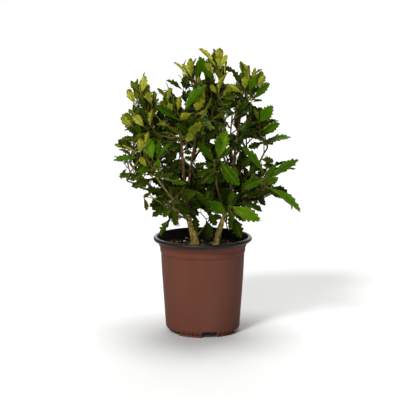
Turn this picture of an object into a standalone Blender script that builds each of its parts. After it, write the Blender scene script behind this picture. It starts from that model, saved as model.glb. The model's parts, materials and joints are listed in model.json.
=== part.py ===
"""A holly shrub in a nursery pot, modelled as separate solids: the pot, its soil, the stems, the
boughs and the masses of foliage. Units are metres, +Z is up, and the origin is the centre of the
pot's foot on the floor. -Y is the front."""

import math
import random

import bmesh
import bpy
from mathutils import Matrix, Quaternion, Vector
from mathutils.bvhtree import BVHTree

# The pot, a round nursery pot of about five litres with a rolled rim and cut-out feet
POT_HEIGHT = 0.2167
RIM_RADIUS = 0.1110
RIM_DEPTH = 0.0100
RIM_STEPS = 4
COLLAR_RADIUS = 0.0985
COLLAR_FOOT = 0.1960
BAND_RADIUS = 0.0961
BAND_TOP = 0.1930
BAND_FOOT = 0.1830
WALL_RADIUS = 0.0940
WALL_TOP = 0.1790
BELLY_RADIUS = 0.0920
BELLY_HEIGHT = 0.1330
HEEL_RADIUS = 0.0842
HEEL_HEIGHT = 0.0200
WALL = 0.0016
FOOT_RADIUS = 0.0780
FOOT_WALL = 0.0032
FOOT_HEIGHT = 0.0080
BASE_UNDERSIDE = 0.0145
BASE_TOP = 0.0165
POT_STEPS = 36
NOTCH_TURN = math.radians(10.2)
NOTCH_FROM = 0.0300
NOTCH_TO = 0.0900
NOTCH_UNDER = 0.0040
NOTCHES = ((0.0300, 0.0142), (0.0880, 0.0079), (0.0300, 0.0142), (0.0880, 0.0079))

# The soil fills the pot to a little under its rim
GAP = 0.0003
SOIL_TOP = 0.1965

# Limbs: where each starts on its parent, its tip, the radius at both ends and how far it bows
LIMB_RESOLUTION = 1
STEM_STEP = 0.010
STEM_LEAN = 0.30
BOUGH_STEP = 0.024
WELD = 0.00001
FLARE = 0.08
FLARE_HEIGHT = 0.012
STEMS = {
    "stem_left": {"foot": (-0.017, 0.008), "tip": (-0.037, 0.006, 0.270), "radius": (0.0092, 0.0056)},
    "stem_right": {"foot": (0.030, 0.008), "tip": (0.057, -0.004, 0.282), "radius": (0.0074, 0.0041)},
}
BOUGHS = {
    "sucker": {"on": "stem_left", "at": 0.18,
        "tip": (0.008, 0.012, 0.242), "radius": (0.0026, 0.0014), "bow": -0.06},
    "bough_left_up": {"on": "stem_left", "at": 0.96,
        "tip": (-0.050, 0.016, 0.446), "radius": (0.0044, 0.0026), "bow": 0.02},
    "bough_left_low": {"on": "stem_left", "at": 0.84,
        "tip": (-0.150, 0.004, 0.366), "radius": (0.0042, 0.0030), "bow": -0.06},
    "bough_left_front": {"on": "stem_left", "at": 0.90,
        "tip": (-0.103, -0.086, 0.366), "radius": (0.0028, 0.0020), "bow": -0.03},
    "bough_left_tip": {"on": "bough_left_low", "at": 0.62,
        "tip": (-0.158, -0.038, 0.344), "radius": (0.0024, 0.0018), "bow": -0.04},
    "bough_top_left": {"on": "bough_left_up", "at": 0.52,
        "tip": (-0.106, 0.004, 0.452), "radius": (0.0026, 0.0019), "bow": -0.05},
    "bough_centre": {"on": "bough_left_up", "at": 0.12,
        "tip": (-0.012, 0.020, 0.462), "radius": (0.0034, 0.0022), "bow": 0.03},
    "bough_front_up": {"on": "bough_centre", "at": 0.38,
        "tip": (-0.020, -0.052, 0.424), "radius": (0.0022, 0.0017), "bow": -0.06},
    "bough_front_low_left": {"on": "stem_left", "at": 0.70,
        "tip": (-0.052, -0.056, 0.272), "radius": (0.0022, 0.0017), "bow": 0.02},
    "bough_back_left": {"on": "bough_left_up", "at": 0.20,
        "tip": (-0.096, 0.074, 0.374), "radius": (0.0030, 0.0020), "bow": -0.06},
    "bough_back_low_left": {"on": "bough_back_left", "at": 0.25,
        "tip": (-0.066, 0.086, 0.300), "radius": (0.0022, 0.0017), "bow": -0.04},
    "bough_back_top": {"on": "bough_centre", "at": 0.55,
        "tip": (-0.004, 0.052, 0.452), "radius": (0.0023, 0.0018), "bow": -0.05},
    "bough_right_up": {"on": "stem_right", "at": 0.97,
        "tip": (0.083, 0.012, 0.482), "radius": (0.0036, 0.0024), "bow": 0.03},
    "bough_top_centre": {"on": "bough_right_up", "at": 0.28,
        "tip": (0.027, 0.002, 0.466), "radius": (0.0026, 0.0020), "bow": -0.02},
    "bough_upper_right": {"on": "bough_right_up", "at": 0.46,
        "tip": (0.062, -0.034, 0.426), "radius": (0.0022, 0.0017), "bow": -0.04},
    "bough_right_side": {"on": "stem_right", "at": 0.90,
        "tip": (0.137, 0.004, 0.404), "radius": (0.0032, 0.0021), "bow": -0.08},
    "bough_right_low": {"on": "bough_right_side", "at": 0.34,
        "tip": (0.124, -0.046, 0.326), "radius": (0.0024, 0.0018), "bow": -0.04},
    "bough_low_right": {"on": "bough_right_side", "at": 0.16,
        "tip": (0.112, 0.036, 0.290), "radius": (0.0022, 0.0017), "bow": 0.00},
    "bough_front": {"on": "stem_right", "at": 0.80,
        "tip": (0.031, -0.072, 0.340), "radius": (0.0026, 0.0019), "bow": -0.05},
    "bough_front_low_right": {"on": "stem_right", "at": 0.66,
        "tip": (0.064, -0.050, 0.278), "radius": (0.0022, 0.0017), "bow": 0.00},
    "bough_back_right": {"on": "bough_right_up", "at": 0.16,
        "tip": (0.096, 0.080, 0.380), "radius": (0.0030, 0.0020), "bow": -0.06},
    "bough_back_low_right": {"on": "bough_back_right", "at": 0.28,
        "tip": (0.062, 0.094, 0.300), "radius": (0.0022, 0.0017), "bow": -0.04},
    "bough_back": {"on": "bough_back_right", "at": 0.55,
        "tip": (0.018, 0.098, 0.400), "radius": (0.0023, 0.0018), "bow": -0.04},
}

# Masses of foliage: the bough each one grows from, the end its stem reaches for, and its shoots
MASSES = {
    "foliage_top_centre": {"on": "bough_top_centre", "to": (0.021, -0.015, 0.582),
        "shoots": 4, "reach": 0.052, "open": 43, "leaf": 0.073, "seed": 882},
    "foliage_top_crown": {"on": "bough_centre", "to": (-0.016, 0.006, 0.564),
        "shoots": 4, "reach": 0.059, "open": 31, "leaf": 0.065, "seed": 256},
    "foliage_upper_left": {"on": "bough_left_up", "to": (-0.071, -0.011, 0.507),
        "shoots": 4, "reach": 0.059, "open": 54, "leaf": 0.059, "seed": 242},
    "foliage_top_left": {"on": "bough_top_left", "to": (-0.122, -0.004, 0.512),
        "shoots": 4, "reach": 0.056, "open": 46, "leaf": 0.060, "seed": 871},
    "foliage_left": {"on": "bough_left_low", "to": (-0.140, 0.004, 0.450),
        "shoots": 3, "reach": 0.051, "open": 46, "leaf": 0.052, "seed": 617},
    "foliage_left_tip": {"on": "bough_left_tip", "to": (-0.137, -0.047, 0.398),
        "shoots": 3, "reach": 0.045, "open": 54, "leaf": 0.059, "seed": 2},
    "foliage_left_front": {"on": "bough_left_front", "to": (-0.101, -0.112, 0.395),
        "shoots": 4, "reach": 0.048, "open": 66, "leaf": 0.064, "seed": 30},
    "foliage_front_up": {"on": "bough_front_up", "to": (-0.026, -0.098, 0.470),
        "shoots": 4, "reach": 0.074, "open": 63, "leaf": 0.069, "seed": 864},
    "foliage_front_low_left": {"on": "bough_front_low_left", "to": (-0.066, -0.070, 0.293),
        "shoots": 4, "reach": 0.053, "open": 48, "leaf": 0.065, "seed": 990},
    "foliage_back_left": {"on": "bough_back_left", "to": (-0.099, 0.090, 0.432),
        "shoots": 4, "reach": 0.059, "open": 56, "leaf": 0.063, "seed": 91},
    "foliage_back_low_left": {"on": "bough_back_low_left", "to": (-0.075, 0.111, 0.322),
        "shoots": 3, "reach": 0.049, "open": 70, "leaf": 0.073, "seed": 314},
    "foliage_back_top": {"on": "bough_back_top", "to": (0.006, 0.079, 0.507),
        "shoots": 4, "reach": 0.058, "open": 48, "leaf": 0.070, "seed": 607},
    "foliage_upper_right": {"on": "bough_upper_right", "to": (0.064, -0.048, 0.492),
        "shoots": 4, "reach": 0.051, "open": 49, "leaf": 0.063, "seed": 580},
    "foliage_top_right": {"on": "bough_right_up", "to": (0.103, 0.015, 0.546),
        "shoots": 4, "reach": 0.040, "open": 36, "leaf": 0.065, "seed": 888},
    "foliage_right": {"on": "bough_right_side", "to": (0.114, 0.000, 0.462),
        "shoots": 3, "reach": 0.049, "open": 62, "leaf": 0.063, "seed": 294},
    "foliage_right_low": {"on": "bough_right_low", "to": (0.136, -0.073, 0.354),
        "shoots": 3, "reach": 0.050, "open": 58, "leaf": 0.091, "seed": 639},
    "foliage_low_right": {"on": "bough_low_right", "to": (0.101, 0.051, 0.302),
        "shoots": 3, "reach": 0.058, "open": 65, "leaf": 0.068, "seed": 846},
    "foliage_front": {"on": "bough_front", "to": (0.024, -0.108, 0.404),
        "shoots": 4, "reach": 0.044, "open": 62, "leaf": 0.073, "seed": 848},
    "foliage_front_low_right": {"on": "bough_front_low_right", "to": (0.063, -0.087, 0.296),
        "shoots": 3, "reach": 0.056, "open": 60, "leaf": 0.064, "seed": 144},
    "foliage_back_right": {"on": "bough_back_right", "to": (0.099, 0.098, 0.437),
        "shoots": 4, "reach": 0.061, "open": 52, "leaf": 0.067, "seed": 696},
    "foliage_back_low_right": {"on": "bough_back_low_right", "to": (0.068, 0.120, 0.311),
        "shoots": 3, "reach": 0.043, "open": 65, "leaf": 0.077, "seed": 589},
    "foliage_back": {"on": "bough_back", "to": (0.002, 0.133, 0.427),
        "shoots": 4, "reach": 0.042, "open": 74, "leaf": 0.076, "seed": 919},
    "foliage_heart": {"on": "sucker", "to": (0.011, 0.003, 0.305),
        "shoots": 3, "reach": 0.053, "open": 60, "leaf": 0.066, "seed": 300},
}
CROWN_LOW = (-0.2050, -0.1920, 0.2000)
CROWN_HIGH = (0.2130, 0.1820, 0.6370)

# Shoots and leaves
GOLDEN_ANGLE = math.radians(137.5)
STEM_SIDES = 4
STEM_STATION = 0.020
STEM_BARE = 0.50
STEM_LEAVES = 6
SHOOT_RADIUS = (0.0018, 0.0013)
SHOOT_SEGMENTS = 2
SHOOT_FIRST = 0.22
SHOOT_LAST = 0.90
SHOOT_UPTURN = 0.25
SHOOT_SWING = 0.8
SHOOT_BARE = 0.35
SHOOT_LEAVES = 5
LEAF_WIDTH = 0.42
LEAF_WIDEST = 0.55
LEAF_FOLD = 0.16
LEAF_KEEL = 0.016
LEAF_DROOP = 0.14
LEAF_ROOT = 0.0006
LEAF_SEAT = 0.0005
LEAF_SPREAD = (72, 26)
LEAF_SWING = 0.4
LEAF_SHRINK = 0.05
TWIG_END = 0.97
ROOM = 0.085
SPACE_CLEARANCE = 0.0016
LIMB_CLEARANCE = 0.0007
SOIL_CLEARANCE = 0.003
RIM_CLEARANCE = 0.008
LEAF_TRIES = 7
SHOOT_TRIES = 6

FINISHES = {
    "plastic": ((0.145, 0.050, 0.034), 0.55),
    "soil": ((0.045, 0.026, 0.016), 0.95),
    "bark": ((0.420, 0.330, 0.160), 0.80),
    "leaves": ((0.060, 0.135, 0.020), 0.45),
}


def add_object(name, mesh, group, finish):
    """A named object with a material of its own in one of the finishes."""
    obj = bpy.data.objects.new(name, mesh)
    group.objects.link(obj)
    colour, roughness = FINISHES[finish]
    material = bpy.data.materials.new(name)
    material.use_nodes = True
    shader = material.node_tree.nodes["Principled BSDF"]
    shader.inputs["Base Color"].default_value = (*colour, 1)
    shader.inputs["Roughness"].default_value = roughness
    shader.inputs["Metallic"].default_value = 0
    mesh.materials.append(material)
    return obj


def apply_modifiers(obj):
    """Replaces the object's mesh with its modified one."""
    bpy.context.view_layer.update()
    graph = bpy.context.evaluated_depsgraph_get()
    mesh = bpy.data.meshes.new_from_object(obj.evaluated_get(graph))
    obj.modifiers.clear()
    obj.data = mesh


# The pot and its soil

def turned(name, profile, group, finish):
    """A closed body turned from a profile whose two ends lie on the Z axis."""
    mesh = bpy.data.meshes.new(name)
    mesh.from_pydata([(r, 0, z) for r, z in profile], [(i, i + 1) for i in range(len(profile) - 1)], [])
    obj = add_object(name, mesh, group, finish)
    screw = obj.modifiers.new("turn", "SCREW")
    screw.steps = POT_STEPS
    screw.render_steps = POT_STEPS
    screw.use_merge_vertices = True
    screw.merge_threshold = WELD
    screw.use_smooth_shade = True
    return obj


def rim_profile():
    """The rolled rim's outer half round, from its top down."""
    roll = RIM_DEPTH / 2
    turns = [math.pi * (0.5 - i / RIM_STEPS) for i in range(RIM_STEPS + 1)]
    return [(RIM_RADIUS - roll + roll * math.cos(t), POT_HEIGHT - roll + roll * math.sin(t)) for t in turns]


def pot_inside():
    """The pot's inner face, from the middle of its base up to the rim."""
    return [
        (0.0, BASE_TOP),
        (HEEL_RADIUS - WALL * 1.75, BASE_TOP),
        (HEEL_RADIUS - WALL, HEEL_HEIGHT),
        (BELLY_RADIUS - WALL, BELLY_HEIGHT),
        (BAND_RADIUS - WALL, BAND_FOOT),
        (COLLAR_RADIUS - WALL, COLLAR_FOOT + WALL * 2.5),
        (RIM_RADIUS - RIM_DEPTH * 0.9, POT_HEIGHT - RIM_DEPTH * 0.06),
    ]


def pot_outside():
    """The pot's outer face, from the rim down to the middle of its base."""
    foot_inside = FOOT_RADIUS - FOOT_WALL
    return rim_profile() + [
        (COLLAR_RADIUS + WALL * 0.4, POT_HEIGHT - RIM_DEPTH * 1.1),
        (COLLAR_RADIUS, COLLAR_FOOT),
        (BAND_RADIUS + WALL * 0.1, BAND_TOP),
        (BAND_RADIUS - WALL * 0.1, BAND_FOOT),
        (WALL_RADIUS, WALL_TOP),
        (BELLY_RADIUS, BELLY_HEIGHT),
        (HEEL_RADIUS, HEEL_HEIGHT),
        (HEEL_RADIUS - WALL * 0.3, HEEL_HEIGHT * 0.60),
        (HEEL_RADIUS - WALL * 1.2, HEEL_HEIGHT * 0.43),
        (FOOT_RADIUS + WALL * 0.25, FOOT_HEIGHT),
        (FOOT_RADIUS, 0.0),
        (foot_inside, 0.0),
        (foot_inside - WALL * 0.25, BASE_UNDERSIDE),
        (0.0, BASE_UNDERSIDE),
    ]


def make_pot(group, cutters):
    """The pot, with a notch cut through its foot at the front, both sides and the back."""
    pot = turned("pot", pot_inside() + pot_outside(), group, "plastic")
    for quarter, (width, height) in enumerate(NOTCHES):
        azimuth = NOTCH_TURN + quarter * math.pi / 2
        middle = (NOTCH_FROM + NOTCH_TO) / 2
        cube = bmesh.new()
        bmesh.ops.create_cube(cube, size=1)
        mesh = bpy.data.meshes.new("notch")
        cube.to_mesh(mesh)
        cube.free()
        mesh.transform(Matrix.Diagonal((width, NOTCH_TO - NOTCH_FROM, height + NOTCH_UNDER, 1)))
        cutter = bpy.data.objects.new("notch", mesh)
        cutters.objects.link(cutter)
        cutter.location = (math.sin(azimuth) * middle, -math.cos(azimuth) * middle, (height - NOTCH_UNDER) / 2)
        cutter.rotation_euler.z = azimuth
        cutter.hide_render = True
        cutter.display_type = "WIRE"
        cut = pot.modifiers.new("notch", "BOOLEAN")
        cut.operation = "DIFFERENCE"
        cut.object = cutter


def make_soil(group):
    """The potting mix, clear of the pot's inner face all round."""
    inside = [(max(0.0, r - 3 * GAP), z) for r, z in pot_inside()[:5]]
    inside[0] = (0.0, BASE_TOP + GAP)
    inside[1] = (inside[1][0], BASE_TOP + GAP)
    edge = (inside[4][0], SOIL_TOP - WALL)
    turned("soil", [(0.0, SOIL_TOP), edge] + inside[::-1], group, "soil")


# Limbs

def bent_path(start, control, tip, station):
    """Points along a smooth bend from start to tip, one about every station."""
    count = max(2, round((tip - start).length / station))
    points = []
    for i in range(count + 1):
        t = i / count
        points.append(start * (1 - t) ** 2 + control * 2 * t * (1 - t) + tip * t * t)
    return points


def along(path, fraction):
    """The point on a path at a fraction of its stations."""
    place = fraction * (len(path) - 1)
    index = min(int(place), len(path) - 2)
    return path[index].lerp(path[index + 1], place - index)


def heading(path, fraction):
    """The direction of a path at a fraction of its stations."""
    place = min(int(fraction * (len(path) - 1)), len(path) - 2)
    return (path[place + 1] - path[place]).normalized()


def ring_frames(path):
    """A turn for each station that carries +Z onto the path with no twist."""
    frames = []
    turn = Vector((0, 0, 1)).rotation_difference(heading(path, 0))
    last = heading(path, 0)
    for i in range(len(path)):
        if i == 0:
            here = heading(path, 0)
        elif i == len(path) - 1:
            here = (path[-1] - path[-2]).normalized()
        else:
            here = (path[i + 1] - path[i - 1]).normalized()
        turn = last.rotation_difference(here) @ turn
        frames.append(turn)
        last = here
    return frames


def tube(path, radii, sides):
    """A closed tapering tube: a cone cut across at each station and bent along the path."""
    mesh_data = bmesh.new()
    bmesh.ops.create_cone(mesh_data, cap_ends=True, segments=sides, radius1=1, radius2=1, depth=1)
    count = len(path) - 1
    if count > 1:
        long_edges = [e for e in mesh_data.edges if abs(e.verts[0].co.z - e.verts[1].co.z) > 0.5]
        bmesh.ops.subdivide_edges(mesh_data, edges=long_edges, cuts=count - 1, use_grid_fill=True)
    frames = ring_frames(path)
    for vertex in mesh_data.verts:
        station = round((vertex.co.z + 0.5) * count)
        radius = radii[station]
        flat = Vector((vertex.co.x, vertex.co.y, 0)).normalized() * radius
        vertex.co = path[station] + frames[station] @ flat
    mesh = bpy.data.meshes.new("tube")
    mesh_data.to_mesh(mesh)
    mesh_data.free()
    return mesh


def taper(path, ends, flare=0.0):
    """Radii along a path, with a flare near its foot."""
    count = len(path) - 1
    radii = []
    for i, point in enumerate(path):
        radius = ends[0] + (ends[1] - ends[0]) * i / count
        rise = point.z - path[0].z
        radii.append(radius * (1 + flare * max(0.0, 1 - rise / FLARE_HEIGHT) ** 2))
    return radii


def limb_paths():
    """The centre line and the radii of each stem and bough, parents first."""
    paths = {}
    for name, spec in STEMS.items():
        foot = Vector((*spec["foot"], SOIL_TOP + GAP))
        tip = Vector(spec["tip"])
        control = Vector((foot.x + STEM_LEAN * (tip.x - foot.x), foot.y, (foot.z + tip.z) / 2))
        path = bent_path(foot, control, tip, STEM_STEP)
        paths[name] = (path, taper(path, spec["radius"], FLARE))
    for name, spec in BOUGHS.items():
        start = along(paths[spec["on"]][0], spec["at"])
        tip = Vector(spec["tip"])
        control = (start + tip) / 2 + Vector((0, 0, spec["bow"])) * (tip - start).length * 2
        path = bent_path(start, control, tip, BOUGH_STEP)
        paths[name] = (path, taper(path, spec["radius"]))
    return paths


def limb_mesh(name, path, radii):
    """A round limb as a curve with its own radius at each point, made a closed mesh."""
    data = bpy.data.curves.new(name, "CURVE")
    data.dimensions = "3D"
    data.bevel_depth = 1
    data.bevel_resolution = LIMB_RESOLUTION
    data.use_fill_caps = True
    spline = data.splines.new("POLY")
    spline.points.add(len(path) - 1)
    for point, place, radius in zip(spline.points, path, radii):
        point.co = (*place, 1)
        point.radius = radius
    curve = bpy.data.objects.new(name, data)
    bpy.context.scene.collection.objects.link(curve)
    bpy.context.view_layer.update()
    mesh = bpy.data.meshes.new_from_object(curve.evaluated_get(bpy.context.evaluated_depsgraph_get()))
    bpy.data.objects.remove(curve)
    bpy.data.curves.remove(data)
    mesh_data = bmesh.new()
    mesh_data.from_mesh(mesh)
    bmesh.ops.remove_doubles(mesh_data, verts=mesh_data.verts, dist=WELD)
    bmesh.ops.recalc_face_normals(mesh_data, faces=mesh_data.faces)
    mesh_data.to_mesh(mesh)
    mesh_data.free()
    mesh.materials.clear()
    return mesh


def level_foot(mesh, height):
    """Flattens the lowest ring of a stem onto the soil."""
    for vertex in mesh.vertices:
        if vertex.co.z < height + STEM_STEP / 2:
            vertex.co.z = height


def tree_of(mesh):
    return BVHTree.FromPolygons([v.co for v in mesh.vertices], [p.vertices for p in mesh.polygons])


def keep_largest(obj):
    """Drops every loose piece but the largest."""
    mesh_data = bmesh.new()
    mesh_data.from_mesh(obj.data)
    islands = []
    unseen = set(mesh_data.verts)
    while unseen:
        front = [unseen.pop()]
        island = set(front)
        while front:
            for edge in front.pop().link_edges:
                for vertex in edge.verts:
                    if vertex in unseen:
                        unseen.discard(vertex)
                        island.add(vertex)
                        front.append(vertex)
        islands.append(island)
    islands.sort(key=len, reverse=True)
    loose = [v for island in islands[1:] for v in island]
    if loose:
        bmesh.ops.delete(mesh_data, geom=loose, context="VERTS")
    mesh_data.to_mesh(obj.data)
    mesh_data.free()


def make_limbs(paths, group, cutters):
    """The stems and boughs. Each is cut clear of its parent and of the limbs made before it."""
    swollen = {}
    for name, (path, radii) in paths.items():
        mesh = limb_mesh(name, path, radii)
        if name in STEMS:
            level_foot(mesh, SOIL_TOP + GAP)
        limb = add_object(name, mesh, group, "bark")
        tree = tree_of(mesh)
        touched = [cutter for cutter, other in swollen.values() if tree.overlap(other)]
        for cutter in touched:
            cut = limb.modifiers.new("seat", "BOOLEAN")
            cut.operation = "DIFFERENCE"
            cut.object = cutter
        if touched:
            apply_modifiers(limb)
            keep_largest(limb)
        fat = limb_mesh(name, path, [r + GAP for r in radii])
        swollen[name] = (add_object("cutter_" + name, fat, cutters, "bark"), tree_of(fat))
        limb.data.shade_smooth()
    for cutter, _ in swollen.values():
        bpy.data.objects.remove(cutter)


# Foliage

def segment_distance(point, start, end):
    run = end - start
    share = max(0.0, min(1.0, (point - start).dot(run) / run.length_squared))
    return (point - start - run * share).length


def in_space(name, points, axes, room):
    """True if every point is within the mass's room and nearer to its stem than to any other's."""
    start, end = axes[name]
    for point in points:
        own = segment_distance(point, start, end)
        if own > room:
            return False
        for other, (a, b) in axes.items():
            if other != name and segment_distance(point, a, b) < own + SPACE_CLEARANCE:
                return False
    return True


def clear_of_pot(points):
    """True if every point is inside the crown's bounds and clear of the pot and the soil."""
    for p in points:
        if any(p[i] < CROWN_LOW[i] or p[i] > CROWN_HIGH[i] for i in range(3)):
            return False
        if p.z < SOIL_TOP + SOIL_CLEARANCE:
            return False
        if p.z < POT_HEIGHT + SOIL_CLEARANCE and math.hypot(p.x, p.y) > COLLAR_RADIUS - RIM_CLEARANCE:
            return False
    return True


def leaf_template():
    """A spike of three sides, 0 at its root to 2 at its tip, with one ring between them."""
    mesh_data = bmesh.new()
    bmesh.ops.create_cone(mesh_data, cap_ends=True, segments=3, radius1=1, radius2=0, depth=2)
    long_edges = [e for e in mesh_data.edges if abs(e.verts[0].co.z - e.verts[1].co.z) > 1]
    bmesh.ops.subdivide_edges(mesh_data, edges=long_edges, cuts=1)
    bmesh.ops.recalc_face_normals(mesh_data, faces=mesh_data.faces)
    mesh = bpy.data.meshes.new("leaf")
    mesh_data.to_mesh(mesh)
    mesh_data.free()
    return mesh


def leaf_points(template, root, direction, face, length, width):
    """The template's corners as a blade with a keel, folded up along it and drooping to its tip."""
    side = direction.cross(face).normalized()
    face = side.cross(direction).normalized()
    points = []
    for vertex in template.vertices:
        x, y, z = vertex.co
        across = 0.0 if abs(x) < 0.1 else math.copysign(1, x)
        if z < -0.5:
            run, half, rise = 0.0, LEAF_ROOT, LEAF_ROOT * (0.5 if across else -1.0)
        elif z < 0.5:
            run, half = length * LEAF_WIDEST, width / 2
            rise = width / 2 * LEAF_FOLD if across else -length * LEAF_KEEL
        else:
            run, half, rise = length, 0.0, 0.0
        fall = LEAF_DROOP * length * (run / length) ** 2
        points.append(root + direction * run + side * across * half + face * (rise - fall))
    return points


def mass_axes(paths):
    """Each mass's own stem as a straight line, from its bough's tip to the end it reaches for."""
    axes = {}
    for name, spec in MASSES.items():
        path = paths[spec["on"]][0]
        axes[name] = (path[-1] + heading(path, 1) * GAP, Vector(spec["to"]))
    return axes


def turn_out(axis, azimuth, opening):
    """A direction that opens from an axis by an angle, at an azimuth round it."""
    side = axis.orthogonal().normalized()
    side.rotate(Quaternion(axis, azimuth))
    return (axis * math.cos(opening) + side * math.sin(opening)).normalized()


def with_middles(points, edges):
    """The points and the middles of the edges between them."""
    return points + [(points[a] + points[b]) / 2 for a, b in edges]


def mass_stem(bough, start, to):
    """The mass's stem carries its bough on and bends to the end it reaches for."""
    lead = heading(bough, 1)
    stem = bent_path(start, start + lead * (to - start).length * 0.4, to, STEM_STATION)
    stem[1] = start + lead * (stem[1] - start).length
    return stem


def grow_shoots(name, spec, stem, axes, limbs, rng):
    """Shoots leave the stem at the golden angle and turn upward. One that finds no room is skipped."""
    shoots = []
    azimuth = rng.uniform(0, 2 * math.pi)
    count = spec["shoots"]
    for i in range(count):
        share = SHOOT_FIRST + (SHOOT_LAST - SHOOT_FIRST) * (i + 0.5) / count
        start = along(stem, share)
        axis = heading(stem, share)
        for attempt in range(SHOOT_TRIES):
            opening = math.radians(spec["open"]) * rng.uniform(0.8, 1.15)
            reach = spec["reach"] * rng.uniform(0.8, 1.15) * (1.15 - 0.35 * share)
            out = turn_out(axis, azimuth + attempt * SHOOT_SWING, opening)
            tip = start + out * reach + Vector((0, 0, reach * SHOOT_UPTURN))
            path = bent_path(start, start + out * reach * 0.5, tip, reach / SHOOT_SEGMENTS)
            mesh = tube(path, taper(path, SHOOT_RADIUS), 3)
            points = with_middles([v.co.copy() for v in mesh.vertices], mesh.edge_keys)
            outer = [p for p in points if (p - start).length > reach * 0.2]
            if (clear_of_pot(outer) and in_space(name, outer, axes, spec.get("room", ROOM))
                    and not tree_of(mesh).overlap(limbs)):
                shoots.append((path, mesh))
                break
            bpy.data.meshes.remove(mesh)
        azimuth += GOLDEN_ANGLE
    return shoots


def grow_leaves(name, spec, stem, shoots, axes, limbs, template, rng):
    """Leaves in a spiral up the stem's end and up each shoot. One that finds no room is skipped."""
    leaves = []
    faces = [p.vertices[:] for p in template.polygons]
    taken = []
    twigs = [(stem, STEM_BARE, STEM_LEAVES)] + [(path, SHOOT_BARE, SHOOT_LEAVES) for path, _ in shoots]
    for path, bare, count in twigs:
        azimuth = rng.uniform(0, 2 * math.pi)
        for k in range(count):
            rise = k / (count - 1)
            share = bare + (TWIG_END - bare) * rise ** 0.75
            root = along(path, share)
            axis = heading(path, min(share, 0.99))
            size = spec["leaf"] * (1.10 - 0.25 * rise) * rng.uniform(0.88, 1.12)
            pitch = (LEAF_SPREAD[0] + (LEAF_SPREAD[1] - LEAF_SPREAD[0]) * rise) * rng.uniform(0.85, 1.15)
            for attempt in range(LEAF_TRIES):
                swing = azimuth + LEAF_SWING * attempt * (-1) ** attempt
                length = size * (1 - LEAF_SHRINK * attempt)
                direction = turn_out(axis, swing, math.radians(pitch))
                face = (axis - direction * axis.dot(direction)).normalized()
                seat = root + (direction - axis * axis.dot(direction)).normalized() * LEAF_SEAT
                points = leaf_points(template, seat, direction, face, length, length * LEAF_WIDTH)
                outer = with_middles(points, template.edge_keys)
                if not (clear_of_pot(outer) and in_space(name, outer, axes, spec.get("room", ROOM))):
                    continue
                tree = BVHTree.FromPolygons(points, faces)
                if tree.overlap(limbs) or any(tree.overlap(other) for other in taken):
                    continue
                taken.append(tree)
                leaves.append(points)
                break
            azimuth += GOLDEN_ANGLE
    return leaves


def placed(template, points):
    """A copy of the leaf template with its corners moved to the points."""
    mesh = template.copy()
    for vertex, point in zip(mesh.vertices, points):
        vertex.co = point
    return mesh


def join_mass(obj, pieces):
    """One union of the stem with its shoots and leaves. A hollow that it seals goes with the loose scraps."""
    group = bpy.data.collections.new("pieces of " + obj.name)
    bpy.context.scene.collection.children.link(group)
    for i, mesh in enumerate(pieces):
        group.objects.link(bpy.data.objects.new(f"piece_{i}", mesh))
    stem = obj.data
    for solver in ("EXACT", "MANIFOLD"):
        obj.data = stem
        union = obj.modifiers.new("join", "BOOLEAN")
        union.operation = "UNION"
        union.operand_type = "COLLECTION"
        union.collection = group
        union.solver = solver
        apply_modifiers(obj)
        keep_largest(obj)
        if is_closed(obj.data):
            break
    for piece in list(group.objects):
        bpy.data.objects.remove(piece)
    bpy.data.collections.remove(group)


def is_closed(mesh):
    mesh_data = bmesh.new()
    mesh_data.from_mesh(mesh)
    closed = all(len(e.link_faces) == 2 for e in mesh_data.edges)
    mesh_data.free()
    return closed


def limb_tree(paths):
    """The surfaces of every limb, swollen by the clearance that leaves keep from them."""
    points, faces = [], []
    for path, radii in paths.values():
        fat = limb_mesh("swollen", path, [r + LIMB_CLEARANCE for r in radii])
        shift = len(points)
        points += [v.co.copy() for v in fat.vertices]
        faces += [[shift + i for i in p.vertices] for p in fat.polygons]
        bpy.data.meshes.remove(fat)
    return BVHTree.FromPolygons(points, faces)


def grow_mass(name, spec, paths, axes, limbs, template):
    """The stem, shoots and leaves of one mass, before they are joined."""
    rng = random.Random(spec["seed"])
    bough, bough_radii = paths[spec["on"]]
    start, to = axes[name]
    stem = mass_stem(bough, start, to)
    trunk = tube(stem, taper(stem, (bough_radii[-1] * 0.94, SHOOT_RADIUS[0])), STEM_SIDES)
    shoots = grow_shoots(name, spec, stem, axes, limbs, rng)
    leaves = grow_leaves(name, spec, stem, shoots, axes, limbs, template, rng)
    return trunk, shoots, leaves


def make_foliage(paths, group):
    axes = mass_axes(paths)
    limbs = limb_tree(paths)
    template = leaf_template()
    for name, spec in MASSES.items():
        trunk, shoots, leaves = grow_mass(name, spec, paths, axes, limbs, template)
        obj = add_object(name, trunk, group, "leaves")
        join_mass(obj, [mesh for _, mesh in shoots] + [placed(template, points) for points in leaves])
        print(f"{name}: {len(shoots)} shoots and {len(leaves)} leaves")


def main():
    for obj in list(bpy.data.objects):
        bpy.data.objects.remove(obj)
    scene = bpy.context.scene
    holly = bpy.data.collections.new("potted holly")
    cutters = bpy.data.collections.new("cutters")
    scene.collection.children.link(holly)
    scene.collection.children.link(cutters)
    make_pot(holly, cutters)
    make_soil(holly)
    paths = limb_paths()
    make_limbs(paths, holly, cutters)
    make_foliage(paths, holly)


main()
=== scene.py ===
import json
import math
import random

import bmesh
import bpy
import numpy as np
from mathutils import Matrix, Quaternion, Vector, noise
from mathutils.bvhtree import BVHTree

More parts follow.
